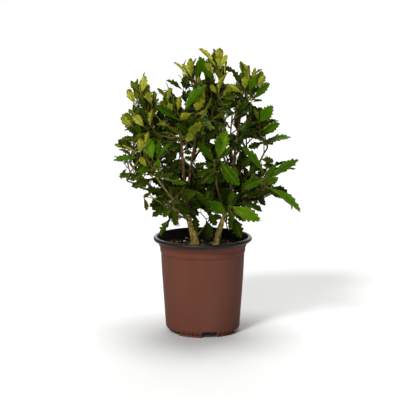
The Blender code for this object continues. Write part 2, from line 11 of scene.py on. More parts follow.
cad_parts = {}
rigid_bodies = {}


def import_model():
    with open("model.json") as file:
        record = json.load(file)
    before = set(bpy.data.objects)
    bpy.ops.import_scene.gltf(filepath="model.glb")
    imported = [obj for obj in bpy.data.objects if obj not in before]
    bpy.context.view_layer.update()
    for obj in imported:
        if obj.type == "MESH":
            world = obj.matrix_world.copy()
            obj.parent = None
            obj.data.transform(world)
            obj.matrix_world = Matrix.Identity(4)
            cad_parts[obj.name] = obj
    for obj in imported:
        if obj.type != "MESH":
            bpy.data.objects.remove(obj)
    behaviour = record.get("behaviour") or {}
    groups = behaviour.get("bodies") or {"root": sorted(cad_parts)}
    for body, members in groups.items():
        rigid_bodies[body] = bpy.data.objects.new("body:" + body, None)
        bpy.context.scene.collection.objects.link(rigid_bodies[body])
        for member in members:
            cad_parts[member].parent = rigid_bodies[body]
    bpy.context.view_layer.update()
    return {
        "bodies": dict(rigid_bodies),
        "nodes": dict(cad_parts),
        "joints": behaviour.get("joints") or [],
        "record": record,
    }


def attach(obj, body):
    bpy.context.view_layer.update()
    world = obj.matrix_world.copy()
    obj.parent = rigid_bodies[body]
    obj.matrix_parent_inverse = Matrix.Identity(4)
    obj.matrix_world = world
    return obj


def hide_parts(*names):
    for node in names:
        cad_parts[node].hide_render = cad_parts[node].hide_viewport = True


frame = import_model()

# A young holly with two stems in a brown nursery pot. Metres, +Z up, -Y is the front.


# Camera, light and floor
cameraView = {"place": (-0.0062, -3.0, 0.7991), "pitch": 9.48, "lens": 122.1, "sensor": 36.0}
studio = {
    "backdrop": (1.0, 1.0, 1.0), "light": 0.05,
    "floorSize": 60.0, "floorColour": (0.50, 0.52, 0.58),
    # name: azimuth from the front toward the right, height above the floor, angle across, strength
    "lights": {"key": (-30, 43, 12, 3.0), "fill": (60, 34, 50, 0.12), "low": (-8, 12, 40, 0.8),
               "top": (170, 80, 30, 3.1), "back": (176, 30, 60, 2.2)},
    "warmth": (1.0, 0.965, 0.86),
}


def setCamera():
    data = bpy.data.cameras.new("camera")
    data.lens, data.sensor_width = cameraView["lens"], cameraView["sensor"]
    data.clip_start, data.clip_end = 0.1, 100
    camera = bpy.data.objects.new("camera", data)
    camera.location = cameraView["place"]
    camera.rotation_euler = (math.radians(90 - cameraView["pitch"]), 0, 0)
    bpy.context.scene.collection.objects.link(camera)
    bpy.context.scene.camera = camera


def setStudio():
    world = bpy.data.worlds.new("studio")
    bpy.context.scene.world = world
    world.use_nodes = True
    nodes, links = world.node_tree.nodes, world.node_tree.links
    background = nodes["Background"]
    background.inputs["Color"].default_value = (*studio["backdrop"], 1)
    rays = nodes.new("ShaderNodeLightPath")
    strength = nodes.new("ShaderNodeMapRange")  # a white backdrop that lights the plant softly
    strength.inputs["To Min"].default_value = studio["light"]
    strength.inputs["To Max"].default_value = 1.0
    links.new(rays.outputs["Is Camera Ray"], strength.inputs["Value"])
    links.new(strength.outputs["Result"], background.inputs["Strength"])
    for name, (azimuth, height, across, power) in studio["lights"].items():
        data = bpy.data.lights.new(name, "SUN")
        data.angle, data.energy, data.color = math.radians(across), power, studio["warmth"]
        lamp = bpy.data.objects.new(name, data)
        lamp.rotation_euler = (math.radians(90 - height), 0, math.radians(azimuth))
        lamp.location = (0, 0, 3)
        bpy.context.scene.collection.objects.link(lamp)
    half = studio["floorSize"] / 2
    mesh = bpy.data.meshes.new("floor")
    corners = [(-half, -half, 0), (half, -half, 0), (half, half, 0), (-half, half, 0)]
    mesh.from_pydata(corners, [], [(0, 1, 2, 3)])
    floor = bpy.data.objects.new("floor", mesh)
    bpy.context.scene.collection.objects.link(floor)
    material = bpy.data.materials.new("pale floor")
    material.use_nodes = True
    shader = material.node_tree.nodes["Principled BSDF"]
    shader.inputs["Base Color"].default_value = (*studio["floorColour"], 1)
    shader.inputs["Roughness"].default_value = 0.9
    mesh.materials.append(material)
    bpy.context.scene.view_settings.view_transform = "Standard"


# Helpers for finishes and pieces
def newFinish(name, colour, roughness, specular=0.5, sheen=(1, 1, 1)):
    material = bpy.data.materials.new(name)
    material.use_nodes = True
    shader = material.node_tree.nodes["Principled BSDF"]
    shader.inputs["Base Color"].default_value = (*colour, 1)
    shader.inputs["Roughness"].default_value = roughness
    shader.inputs["Specular IOR Level"].default_value = specular
    shader.inputs["Specular Tint"].default_value = (*sheen, 1)
    return material


# The height of a noise texture on the piece's own coordinates
def addNoise(material, scale, detail=4.0, stretch=(1, 1, 1)):
    nodes, links = material.node_tree.nodes, material.node_tree.links
    place = nodes.new("ShaderNodeTexCoord")
    mapping = nodes.new("ShaderNodeMapping")
    mapping.inputs["Scale"].default_value = stretch
    texture = nodes.new("ShaderNodeTexNoise")
    texture.inputs["Scale"].default_value = scale
    texture.inputs["Detail"].default_value = detail
    links.new(place.outputs["Object"], mapping.inputs["Vector"])
    links.new(mapping.outputs["Vector"], texture.inputs["Vector"])
    return texture.outputs[0]


# The result of one step of sums, on sockets and plain numbers
def addMath(material, operation, *values):
    node = material.node_tree.nodes.new("ShaderNodeMath")
    node.operation = operation
    for value, socket in zip(values, node.inputs):
        if isinstance(value, (int, float)):
            socket.default_value = value
        else:
            material.node_tree.links.new(value, socket)
    return node.outputs[0]


# Colours, or single values, by a height, into one of the shader's sockets
def rampColours(material, height, stops, into="Base Color"):
    nodes, links = material.node_tree.nodes, material.node_tree.links
    ramp = nodes.new("ShaderNodeValToRGB")
    while len(ramp.color_ramp.elements) < len(stops):
        ramp.color_ramp.elements.new(0.5)
    for element, (place, colour) in zip(ramp.color_ramp.elements, stops):
        element.position = place
        element.color = (*colour, 1) if len(colour) == 3 else (colour[0], colour[0], colour[0], 1)
    links.new(height, ramp.inputs["Fac"])
    links.new(ramp.outputs["Color"], nodes["Principled BSDF"].inputs[into])
    return ramp.outputs["Color"]


# A bump from one height, or from the sum of several
def addBump(material, heights, strength, distance):
    nodes, links = material.node_tree.nodes, material.node_tree.links
    total = heights[0]
    for height in heights[1:]:
        total = addMath(material, "ADD", total, height)
    bump = nodes.new("ShaderNodeBump")
    bump.inputs["Strength"].default_value = strength
    bump.inputs["Distance"].default_value = distance
    links.new(total, bump.inputs["Height"])
    links.new(bump.outputs["Normal"], nodes["Principled BSDF"].inputs["Normal"])


# A joined mesh with its finishes, riding on the plant's body in place of the CAD nodes
def addPiece(name, points, faces, finishes, nodes, faceFinish=None, smooth=True, uv=None):
    mesh = bpy.data.meshes.new(name)
    mesh.from_pydata(points, [], faces)
    for finish in finishes:
        mesh.materials.append(finish)
    if faceFinish is not None:
        mesh.polygons.foreach_set("material_index", np.asarray(faceFinish, dtype=np.int32))
    mesh.polygons.foreach_set("use_smooth", np.full(len(mesh.polygons), smooth, dtype=bool))
    if uv is not None:
        layer = mesh.uv_layers.new(name="blade")
        loops = np.zeros(len(mesh.loops), dtype=np.int32)
        mesh.loops.foreach_get("vertex_index", loops)
        layer.data.foreach_set("uv", np.asarray(uv, dtype=np.float32)[loops].ravel())
    mesh.update()
    piece = bpy.data.objects.new(name, mesh)
    bpy.context.scene.collection.objects.link(piece)
    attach(piece, "root")
    if nodes:
        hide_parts(*nodes)
    return piece


# Points and faces of many small things, on their way into one mesh
class Heap:
    def __init__(self):
        self.points, self.faces, self.finish, self.uv, self.count = [], [], [], [], 0

    def add(self, points, faces, finish, uv=None):
        self.points.append(np.asarray(points, dtype=float))
        self.faces.extend([tuple(i + self.count for i in face) for face in faces])
        self.finish.extend(finish if hasattr(finish, "__len__") else [finish] * len(faces))
        if uv is not None:
            self.uv.append(uv)
        self.count += len(points)

    def piece(self, name, finishes, slot, nodes, smooth=True):
        uv = np.concatenate(self.uv) if self.uv else None
        points = np.concatenate(self.points).tolist()
        return addPiece(name, points, self.faces, finishes, nodes, self.finish, smooth, uv)


# The pot
pot = {
    "height": 0.2167, "rimRadius": 0.1110, "rimDepth": 0.0100,
    "collarRadius": 0.0985, "collarFoot": 0.1960,
    "bandRadius": 0.0961, "bandTop": 0.1930, "bandFoot": 0.1830,
    "wallRadius": 0.0940, "wallTop": 0.1790,
    "bellyRadius": 0.0920, "bellyHeight": 0.1330,
    "heelRadius": 0.0842, "heelHeight": 0.0200,
    "wall": 0.0016, "footRadius": 0.0780, "footWall": 0.0032, "footHeight": 0.0080,
    "baseUnderside": 0.0145, "baseTop": 0.0165,
    "steps": 480, "rimSteps": 14, "blend": 6,
    "lipStart": 0.72, "lipSweep": 1.22, "groove": 0.0004,
    "flutes": 48, "fluteDepth": 0.0026, "fluteTop": 0.0178, "fluteFade": 0.006,
    # how far the thin wall is from round, with its bends round and up the pot, above a height
    "wobble": 0.00025, "wobbleRound": 2.2, "wobbleUp": 22, "wobbleFrom": 0.02,
    # the foot's notches: width and height of each, and how far they run in and below the floor
    "notchTurn": 10.2, "notches": ((0.0300, 0.0142), (0.0880, 0.0079), (0.0300, 0.0142), (0.0880, 0.0079)),
    "notchSlant": 0.0022, "notchRun": (-0.090, -0.030), "notchBelow": -0.004, "sharpEdge": 42,
}
potColours = {
    "brown": ((0.099, 0.036, 0.024), (0.113, 0.042, 0.029), (0.127, 0.052, 0.037)),
    "black": ((0.008, 0.007, 0.007), (0.012, 0.010, 0.010), (0.028, 0.023, 0.018)),
    "blackBase": (0.009, 0.008, 0.007),
}


# Softens a profile's inner corners with short bends
def roundCorners(profile, steps, reach=0.47):
    points = [Vector((*p, 0)) for p in profile]
    out = [points[0]]
    for before, here, after in zip(points, points[1:], points[2:]):
        arm = reach * min((here - before).length, (after - here).length)
        a = here + (before - here).normalized() * arm
        b = here + (after - here).normalized() * arm
        for i in range(steps + 1):
            t = i / steps
            out.append(a * (1 - t) ** 2 + here * 2 * t * (1 - t) + b * t * t)
    out.append(points[-1])
    return [(p.x, p.y) for p in out]


# Outer face from the lip down, then the foot, the underside and the inner face, as (radius, z, part)
def potProfile():
    p = pot
    roll = p["rimDepth"] / 2
    lip = []
    for i in range(p["rimSteps"] + 1):  # from inside the lip's top over to its lower edge
        turn = math.pi * (p["lipStart"] - p["lipSweep"] * i / p["rimSteps"])
        out, up = roll * math.cos(turn), roll * math.sin(turn)
        lip.append((p["rimRadius"] - roll + out, p["height"] - roll + up))
    wall, foot = p["wall"], p["footRadius"]
    side = roundCorners([
        (p["collarRadius"] + wall * 0.4, p["height"] - p["rimDepth"] * 1.10),
        (p["collarRadius"], p["collarFoot"]),
        (p["bandRadius"] - p["groove"], p["bandTop"] + p["groove"]),
        (p["bandRadius"] + wall * 0.1, p["bandTop"] - p["groove"]),
        (p["bandRadius"] - wall * 0.1, p["bandFoot"]),
        (p["wallRadius"] - p["groove"], p["wallTop"] + p["groove"]),
        (p["wallRadius"], p["wallTop"] - p["groove"]),
        (p["bellyRadius"], p["bellyHeight"]),
        (p["heelRadius"], p["heelHeight"]),
        (p["heelRadius"] - wall * 0.3, p["heelHeight"] * 0.60),
        (p["heelRadius"] - wall * 1.2, p["heelHeight"] * 0.43),
        (foot + wall * 0.25, p["footHeight"]),
        (foot, 0.0)], p["blend"])
    inside = roundCorners([
        (0.0, p["baseTop"]),
        (p["heelRadius"] - wall * 1.75, p["baseTop"]),
        (p["heelRadius"] - wall, p["heelHeight"]),
        (p["bellyRadius"] - wall, p["bellyHeight"]),
        (p["wallRadius"] - wall * 1.1, p["wallTop"]),
        (p["bandRadius"] - wall * 1.3, p["bandTop"]),
        (p["collarRadius"] - wall * 1.1, p["collarFoot"] + wall * 2.5),
        (lip[0][0] - 0.0006, lip[0][1] - 0.0012)], p["blend"])
    footInside = foot - p["footWall"]
    under = [(footInside, 0.0), (footInside - wall * 0.25, p["baseUnderside"]), (0.0, p["baseUnderside"])]
    rings = [(r, z, "lip") for r, z in lip] + [(r, z, "side") for r, z in side]
    rings += [(r, z, "under") for r, z in under] + [(r, z, "inside") for r, z in inside]
    return rings


def makePot():
    rings, steps = potProfile(), pot["steps"]
    points, faces, finish, starts = [], [], [], []
    for radius, z, part in rings:
        starts.append(len(points))
        if radius == 0:
            points.append((0.0, 0.0, z))
            continue
        for k in range(steps):
            turn = 2 * math.pi * k / steps
            push = 0.0
            if part == "side" and z < pot["fluteTop"]:  # upright flutes round the foot
                fade = min(1.0, (pot["fluteTop"] - z) / pot["fluteFade"])
                push = pot["fluteDepth"] * max(0.0, math.cos(turn * pot["flutes"])) * fade
            if part == "side" and z > pot["wobbleFrom"]:  # a thin wall is never quite round
                about = pot["wobbleRound"]
                spot = Vector((math.cos(turn) * about, math.sin(turn) * about, z * pot["wobbleUp"]))
                push = pot["wobble"] * noise.noise(spot)
            r = radius - push
            points.append((r * math.sin(turn), -r * math.cos(turn), z))
    for i, (radius, _, part) in enumerate(rings):
        j = (i + 1) % len(rings)
        a, b = starts[i], starts[j]
        if radius == 0 and rings[j][0] == 0:
            continue
        black = part in ("lip", "inside") and rings[j][2] != "side"
        for k in range(steps):
            n = (k + 1) % steps
            if radius == 0:
                faces.append((a, b + n, b + k))
            elif rings[j][0] == 0:
                faces.append((a + k, a + n, b))
            else:
                faces.append((a + k, a + n, b + n, b + k))
            finish.append(1 if black else 0)
    shell = addPiece("pot_shell", points, faces, [potBrown(), potBlack()], ["pot"], finish)
    outward = bmesh.new()
    outward.from_mesh(shell.data)
    bmesh.ops.recalc_face_normals(outward, faces=outward.faces)
    outward.to_mesh(shell.data)
    outward.free()
    cutNotches(shell)


# Cuts the four notches through the foot, a little wider at the floor than at their top
def cutNotches(shell):
    for quarter, (width, height) in enumerate(pot["notches"]):
        azimuth = math.radians(pot["notchTurn"]) + quarter * math.pi / 2
        slant = pot["notchSlant"] if quarter % 2 == 0 else 0.0
        box = bmesh.new()
        bmesh.ops.create_cube(box, size=1)
        for v in box.verts:
            low = v.co.z < 0
            v.co.x *= width
            if low and v.co.x > 0:
                v.co.x += slant * 2
            v.co.y = pot["notchRun"][1 if v.co.y > 0 else 0]
            v.co.z = pot["notchBelow"] if low else height
        mesh = bpy.data.meshes.new("notch")
        box.to_mesh(mesh)
        box.free()
        mesh.transform(Matrix.Rotation(azimuth, 4, "Z"))
        cutter = bpy.data.objects.new("notch", mesh)
        bpy.context.scene.collection.objects.link(cutter)
        cut = shell.modifiers.new("notch", "BOOLEAN")
        cut.operation, cut.object, cut.solver = "DIFFERENCE", cutter, "EXACT"
        bpy.context.view_layer.update()
        graph = bpy.context.evaluated_depsgraph_get()
        cutMesh = bpy.data.meshes.new_from_object(shell.evaluated_get(graph))
        shell.modifiers.clear()
        shell.data = cutMesh
        bpy.data.objects.remove(cutter)
    sharpEdges(shell, pot["sharpEdge"])


# Marks edges over an angle as sharp, so that the rest shades smooth
def sharpEdges(piece, degrees):
    work = bmesh.new()
    work.from_mesh(piece.data)
    for edge in work.edges:
        if len(edge.link_faces) == 2 and edge.calc_face_angle(0) > math.radians(degrees):
            edge.smooth = False
    work.to_mesh(piece.data)
    work.free()


def potBrown():
    low, middle, high = potColours["brown"]
    material = newFinish("brown pot plastic", middle, 0.56, 0.03)
    rampColours(material, addNoise(material, 9, 3, (1, 1, 0.35)), [(0.30, low), (0.52, middle), (0.74, high)])
    wear = addNoise(material, 70, 6, (1, 1, 0.25))
    rampColours(material, wear, [(0.25, (0.44,)), (0.75, (0.60,))], "Roughness")
    addBump(material, [addNoise(material, 900, 3), addNoise(material, 120, 2)], 0.10, 0.0004)
    return material


def potBlack():
    low, middle, high = potColours["black"]
    material = newFinish("black pot plastic", potColours["blackBase"], 0.40, 0.18)
    rampColours(material, addNoise(material, 45, 6), [(0.35, low), (0.62, middle), (0.80, high)])
    addBump(material, [addNoise(material, 700, 3)], 0.12, 0.0004)
    return material


# The potting mix
mix = {
    "top": 0.1965, "radius": 0.0945, "rings": 46, "around": 150, "depth": 0.030, "narrow": 0.985,
    # the surface lies a little under the top, in lumps: how close, their place in the noise, how high
    "sink": 0.0016, "roughness": 0.0022, "lumps": ((38, 3.1, 0.9), (120, 7.7, 0.6)),
    "chips": 1500, "chipSize": (0.0025, 0.0115), "chipTilt": 0.5, "chipTones": (0, 0, 0, 1, 1, 2),
    "grains": 64, "grainSize": (0.0009, 0.0022), "grainEdge": 0.004, "seed": 5,
}
mixColours = {
    "dark": ((0.004, 0.002, 0.001), (0.016, 0.009, 0.004)),
    "brown": ((0.022, 0.012, 0.004), (0.068, 0.036, 0.012)),
    "tan": ((0.093, 0.052, 0.019), (0.223, 0.136, 0.056)),
}


def mixHeight(x, y):
    height = sum(noise.noise(Vector((x * close, y * close, place))) * high
                 for close, place, high in mix["lumps"])
    return mix["top"] - mix["sink"] + height * mix["roughness"]


def onCircle(radius, turn):
    return radius * math.cos(turn), radius * math.sin(turn)


# A broken sliver of bark: a rough box of uneven corners, with a point at each end
def chipShape(rng, long):
    wide, thick = long * rng.uniform(0.30, 0.65), long * rng.uniform(0.12, 0.30)
    points = []
    for x in (-0.5, 0.5):
        for y in (-0.5, 0.5):
            for z in (-0.5, 0.5):
                points.append([x * long * rng.uniform(0.65, 1), y * wide * rng.uniform(0.6, 1),
                               z * thick * rng.uniform(0.6, 1)])
    points.append([long * 0.5 * rng.uniform(0.9, 1.15), 0, 0])
    points.append([-long * 0.5 * rng.uniform(0.9, 1.15), 0, 0])
    faces = [(0, 1, 9), (1, 3, 9), (0, 9, 2), (2, 9, 3), (4, 6, 8), (6, 7, 8), (7, 5, 8), (5, 4, 8),
             (0, 4, 5, 1), (2, 3, 7, 6), (0, 2, 6, 4), (1, 5, 7, 3)]
    return np.array(points), faces


def makeMix():
    rng = random.Random(mix["seed"])
    makeBed()
    chips = Heap()
    for _ in range(mix["chips"]):
        long = rng.uniform(*mix["chipSize"]) * rng.uniform(0.5, 1.0)
        r = (mix["radius"] - long * 0.7) * math.sqrt(rng.uniform(0, 1))
        x, y = onCircle(r, rng.uniform(0, 2 * math.pi))
        shape, sides = chipShape(rng, long)
        lean = (rng.uniform(-1, 1), rng.uniform(-1, 1), 0)
        tilt = Quaternion(lean, rng.uniform(-mix["chipTilt"], mix["chipTilt"]))
        spin = Quaternion((0, 0, 1), rng.uniform(0, 2 * math.pi))
        place = np.array([x, y, mixHeight(x, y) + long * 0.05])
        chips.add(shape @ np.array((spin @ tilt).to_matrix()).T + place, sides, rng.choice(mix["chipTones"]))
    finishes = [mixFinish("chip", tone) for tone in mixColours]
    chips.piece("bark_chips", finishes, "potting_mix", ["soil"], smooth=False)
    ball = bmesh.new()
    bmesh.ops.create_icosphere(ball, subdivisions=1, radius=1)
    ballPoints = np.array([v.co for v in ball.verts])
    ballFaces = [tuple(v.index for v in f.verts) for f in ball.faces]
    ball.free()
    grains = Heap()
    for _ in range(mix["grains"]):
        size = rng.uniform(*mix["grainSize"])
        r = (mix["radius"] - mix["grainEdge"]) * math.sqrt(rng.uniform(0, 1))
        x, y = onCircle(r, rng.uniform(0, 2 * math.pi))
        lumps = np.array([[rng.uniform(0.7, 1.25)] for _ in ballPoints])
        grains.add(ballPoints * size * lumps + np.array([x, y, mixHeight(x, y) + size * 0.7]), ballFaces, 0)
    white = newFinish("white grains", (0.62, 0.60, 0.55), 0.85)
    rampColours(white, addNoise(white, 900, 3), [(0.3, (0.50, 0.48, 0.43)), (0.7, (0.70, 0.68, 0.63))])
    grains.piece("mix_grains", [white], "potting_mix", ["soil"])


# The uneven bed, with a side and a flat underside, so that it is a closed body
def makeBed():
    rings, around = mix["rings"], mix["around"]
    turns = [2 * math.pi * k / around for k in range(around)]
    points, faces = [(0, 0, mixHeight(0, 0))], [(0, 1 + k, 1 + (k + 1) % around) for k in range(around)]
    for i in range(1, rings + 1):
        spots = [onCircle(mix["radius"] * i / rings, turn) for turn in turns]
        points += [(x, y, mixHeight(x, y)) for x, y in spots]
    points += [(x * mix["narrow"], y * mix["narrow"], mix["top"] - mix["depth"])
               for x, y in (onCircle(mix["radius"], turn) for turn in turns)]
    for i in range(rings):
        a, b = 1 + i * around, 1 + (i + 1) * around
        for k in range(around):
            n = (k + 1) % around
            faces.append((a + k, b + k, b + n, a + n))
    faces.append(tuple(1 + rings * around + k for k in reversed(range(around))))
    addPiece("mix_bed", points, faces, [mixFinish("mix", "dark")], ["soil"])


def mixFinish(name, tone):
    low, high = mixColours[tone]
    material = newFinish(f"{tone} {name}", low, 0.92, 0.06)
    grain = addNoise(material, 420, 6)
    rampColours(material, grain, [(0.32, low), (0.70, high)])
    addBump(material, [grain, addNoise(material, 1500, 3)], 0.6, 0.0006)
    return material


# The plant's build: stems, boughs and masses, as in the solids. A mass also has its leaves' length and the
# shares of their kinds
gap = 0.0003  # between a limb and what stands on it
stems = {
    "stem_left": {"foot": (-0.017, 0.008), "tip": (-0.037, 0.006, 0.270), "radius": (0.0092, 0.0056)},
    "stem_right": {"foot": (0.030, 0.008), "tip": (0.057, -0.004, 0.282), "radius": (0.0074, 0.0041)},
}
boughs = {
    "sucker": {"on": "stem_left", "at": 0.18,
        "tip": (0.008, 0.012, 0.242), "radius": (0.0026, 0.0014), "bow": -0.06},
    "bough_left_up": {"on": "stem_left", "at": 0.96,
        "tip": (-0.050, 0.016, 0.446), "radius": (0.0044, 0.0026), "bow": 0.02},
    "bough_left_low": {"on": "stem_left", "at": 0.84,
        "tip": (-0.150, 0.004, 0.366), "radius": (0.0042, 0.0030), "bow": -0.06},
    "bough_left_front": {"on": "stem_left", "at": 0.90,
        "tip": (-0.103, -0.086, 0.366), "radius": (0.0028, 0.0020), "bow": -0.03},
    "bough_left_tip": {"on": "bough_left_low", "at": 0.62,
        "tip": (-0.158, -0.038, 0.344), "radius": (0.0024, 0.0018), "bow": -0.04},
    "bough_top_left": {"on": "bough_left_up", "at": 0.52,
        "tip": (-0.106, 0.004, 0.452), "radius": (0.0026, 0.0019), "bow": -0.05},
    "bough_centre": {"on": "bough_left_up", "at": 0.12,
        "tip": (-0.012, 0.020, 0.462), "radius": (0.0034, 0.0022), "bow": 0.03},
    "bough_front_up": {"on": "bough_centre", "at": 0.38,
        "tip": (-0.020, -0.052, 0.424), "radius": (0.0022, 0.0017), "bow": -0.06},
    "bough_front_low_left": {"on": "stem_left", "at": 0.70,
        "tip": (-0.052, -0.056, 0.272), "radius": (0.0022, 0.0017), "bow": 0.02},
    "bough_back_left": {"on": "bough_left_up", "at": 0.20,
        "tip": (-0.096, 0.074, 0.374), "radius": (0.0030, 0.0020), "bow": -0.06},
    "bough_back_low_left": {"on": "bough_back_left", "at": 0.25,
        "tip": (-0.066, 0.086, 0.300), "radius": (0.0022, 0.0017), "bow": -0.04},
    "bough_back_top": {"on": "bough_centre", "at": 0.55,
        "tip": (-0.004, 0.052, 0.452), "radius": (0.0023, 0.0018), "bow": -0.05},
    "bough_right_up": {"on": "stem_right", "at": 0.97,
        "tip": (0.083, 0.012, 0.482), "radius": (0.0036, 0.0024), "bow": 0.03},
    "bough_top_centre": {"on": "bough_right_up", "at": 0.28,
        "tip": (0.027, 0.002, 0.466), "radius": (0.0026, 0.0020), "bow": -0.02},
    "bough_upper_right": {"on": "bough_right_up", "at": 0.46,
        "tip": (0.062, -0.034, 0.426), "radius": (0.0022, 0.0017), "bow": -0.04},
    "bough_right_side": {"on": "stem_right", "at": 0.90,
        "tip": (0.137, 0.004, 0.404), "radius": (0.0032, 0.0021), "bow": -0.08},
    "bough_right_low": {"on": "bough_right_side", "at": 0.34,
        "tip": (0.124, -0.046, 0.326), "radius": (0.0024, 0.0018), "bow": -0.04},
    "bough_low_right": {"on": "bough_right_side", "at": 0.16,
        "tip": (0.112, 0.036, 0.290), "radius": (0.0022, 0.0017), "bow": 0.00},
    "bough_front": {"on": "stem_right", "at": 0.80,
        "tip": (0.031, -0.072, 0.340), "radius": (0.0026, 0.0019), "bow": -0.05},
    "bough_front_low_right": {"on": "stem_right", "at": 0.66,
        "tip": (0.064, -0.050, 0.278), "radius": (0.0022, 0.0017), "bow": 0.00},
    "bough_back_right": {"on": "bough_right_up", "at": 0.16,
        "tip": (0.096, 0.080, 0.380), "radius": (0.0030, 0.0020), "bow": -0.06},
    "bough_back_low_right": {"on": "bough_back_right", "at": 0.28,
        "tip": (0.062, 0.094, 0.300), "radius": (0.0022, 0.0017), "bow": -0.04},
    "bough_back": {"on": "bough_back_right", "at": 0.55,
        "tip": (0.018, 0.098, 0.400), "radius": (0.0023, 0.0018), "bow": -0.04},
}
masses = {
    "foliage_top_centre": {"on": "bough_top_centre", "to": (0.021, -0.015, 0.582),
        "shoots": 4, "reach": 0.052, "open": 43, "leaf": 0.062, "seed": 882,
        "kinds": {"young": 0.55, "bright": 0.45}},
    "foliage_top_crown": {"on": "bough_centre", "to": (-0.016, 0.006, 0.564),
        "shoots": 4, "reach": 0.059, "open": 31, "leaf": 0.056, "seed": 256,
        "kinds": {"young": 0.60, "bright": 0.40}},
    "foliage_upper_left": {"on": "bough_left_up", "to": (-0.071, -0.011, 0.507),
        "shoots": 4, "reach": 0.059, "open": 54, "leaf": 0.052, "seed": 242,
        "kinds": {"young": 0.60, "bright": 0.30, "dark": 0.10}},
    "foliage_top_left": {"on": "bough_top_left", "to": (-0.122, -0.004, 0.512),
        "shoots": 4, "reach": 0.056, "open": 46, "leaf": 0.045, "seed": 871,
        "kinds": {"young": 0.75, "bright": 0.25}},
    "foliage_left": {"on": "bough_left_low", "to": (-0.140, 0.004, 0.450),
        "shoots": 3, "reach": 0.051, "open": 46, "leaf": 0.047, "seed": 617,
        "kinds": {"young": 0.60, "bright": 0.25, "dark": 0.15}},
    "foliage_left_tip": {"on": "bough_left_tip", "to": (-0.137, -0.047, 0.398),
        "shoots": 3, "reach": 0.045, "open": 54, "leaf": 0.050, "seed": 2,
        "kinds": {"young": 0.15, "bright": 0.40, "dark": 0.45}},
    "foliage_left_front": {"on": "bough_left_front", "to": (-0.101, -0.112, 0.395),
        "shoots": 4, "reach": 0.048, "open": 66, "leaf": 0.052, "seed": 30,
        "kinds": {"bright": 0.35, "dark": 0.65}},
    "foliage_front_up": {"on": "bough_front_up", "to": (-0.026, -0.098, 0.470),
        "shoots": 4, "reach": 0.074, "open": 63, "leaf": 0.063, "seed": 864,
        "kinds": {"young": 0.20, "bright": 0.30, "dark": 0.50}},
    "foliage_front_low_left": {"on": "bough_front_low_left", "to": (-0.066, -0.070, 0.293),
        "shoots": 4, "reach": 0.053, "open": 48, "leaf": 0.060, "seed": 990,
        "kinds": {"dark": 1.0}},
    "foliage_back_left": {"on": "bough_back_left", "to": (-0.099, 0.090, 0.432),
        "shoots": 4, "reach": 0.059, "open": 56, "leaf": 0.056, "seed": 91,
        "kinds": {"young": 0.35, "bright": 0.25, "dark": 0.40}},
    "foliage_back_low_left": {"on": "bough_back_low_left", "to": (-0.075, 0.111, 0.322),
        "shoots": 3, "reach": 0.049, "open": 70, "leaf": 0.060, "seed": 314,
        "kinds": {"dark": 0.8, "bright": 0.2}},
    "foliage_back_top": {"on": "bough_back_top", "to": (0.006, 0.079, 0.507),
        "shoots": 4, "reach": 0.058, "open": 48, "leaf": 0.056, "seed": 607,
        "kinds": {"young": 0.55, "bright": 0.30, "dark": 0.15}},
    "foliage_upper_right": {"on": "bough_upper_right", "to": (0.064, -0.048, 0.492),
        "shoots": 4, "reach": 0.051, "open": 49, "leaf": 0.062, "seed": 580,
        "kinds": {"young": 0.35, "bright": 0.40, "dark": 0.25}},
    "foliage_top_right": {"on": "bough_right_up", "to": (0.103, 0.015, 0.546),
        "shoots": 4, "reach": 0.040, "open": 36, "leaf": 0.054, "seed": 888,
        "kinds": {"young": 0.50, "bright": 0.50}},
    "foliage_right": {"on": "bough_right_side", "to": (0.114, 0.000, 0.462),
        "shoots": 3, "reach": 0.049, "open": 62, "leaf": 0.060, "seed": 294,
        "kinds": {"bright": 0.70, "young": 0.15, "dark": 0.15}},
    "foliage_right_low": {"on": "bough_right_low", "to": (0.136, -0.073, 0.354),
        "shoots": 3, "reach": 0.050, "open": 58, "leaf": 0.070, "seed": 639,
        "kinds": {"bright": 0.60, "dark": 0.40}},
    "foliage_low_right": {"on": "bough_low_right", "to": (0.101, 0.051, 0.302),
        "shoots": 3, "reach": 0.058, "open": 65, "leaf": 0.058, "seed": 846,
        "kinds": {"dark": 1.0}},
    "foliage_front": {"on": "bough_front", "to": (0.024, -0.108, 0.404),
        "shoots": 4, "reach": 0.044, "open": 62, "leaf": 0.062, "seed": 848,
        "kinds": {"bright": 0.60, "dark": 0.40}},
    "foliage_front_low_right": {"on": "bough_front_low_right", "to": (0.063, -0.087, 0.296),
        "shoots": 3, "reach": 0.056, "open": 60, "leaf": 0.058, "seed": 144,
        "kinds": {"bright": 0.25, "dark": 0.75}},
    "foliage_back_right": {"on": "bough_back_right", "to": (0.099, 0.098, 0.437),
        "shoots": 4, "reach": 0.061, "open": 52, "leaf": 0.058, "seed": 696,
        "kinds": {"young": 0.35, "bright": 0.30, "dark": 0.35}},
    "foliage_back_low_right": {"on": "bough_back_low_right", "to": (0.068, 0.120, 0.311),
        "shoots": 3, "reach": 0.043, "open": 65, "leaf": 0.060, "seed": 589,
        "kinds": {"dark": 0.8, "bright": 0.2}},
    "foliage_back": {"on": "bough_back", "to": (0.002, 0.133, 0.427),
        "shoots": 4, "reach": 0.042, "open": 74, "leaf": 0.058, "seed": 919,
        "kinds": {"young": 0.40, "bright": 0.35, "dark": 0.25}},
    "foliage_heart": {"on": "sucker", "to": (0.011, 0.003, 0.305),
        "shoots": 3, "reach": 0.053, "open": 60, "leaf": 0.059, "seed": 300,
        "kinds": {"dark": 1.0}},
}
crownLow = (-0.2050, -0.1920, 0.2000)
crownHigh = (0.2130, 0.1820, 0.6370)
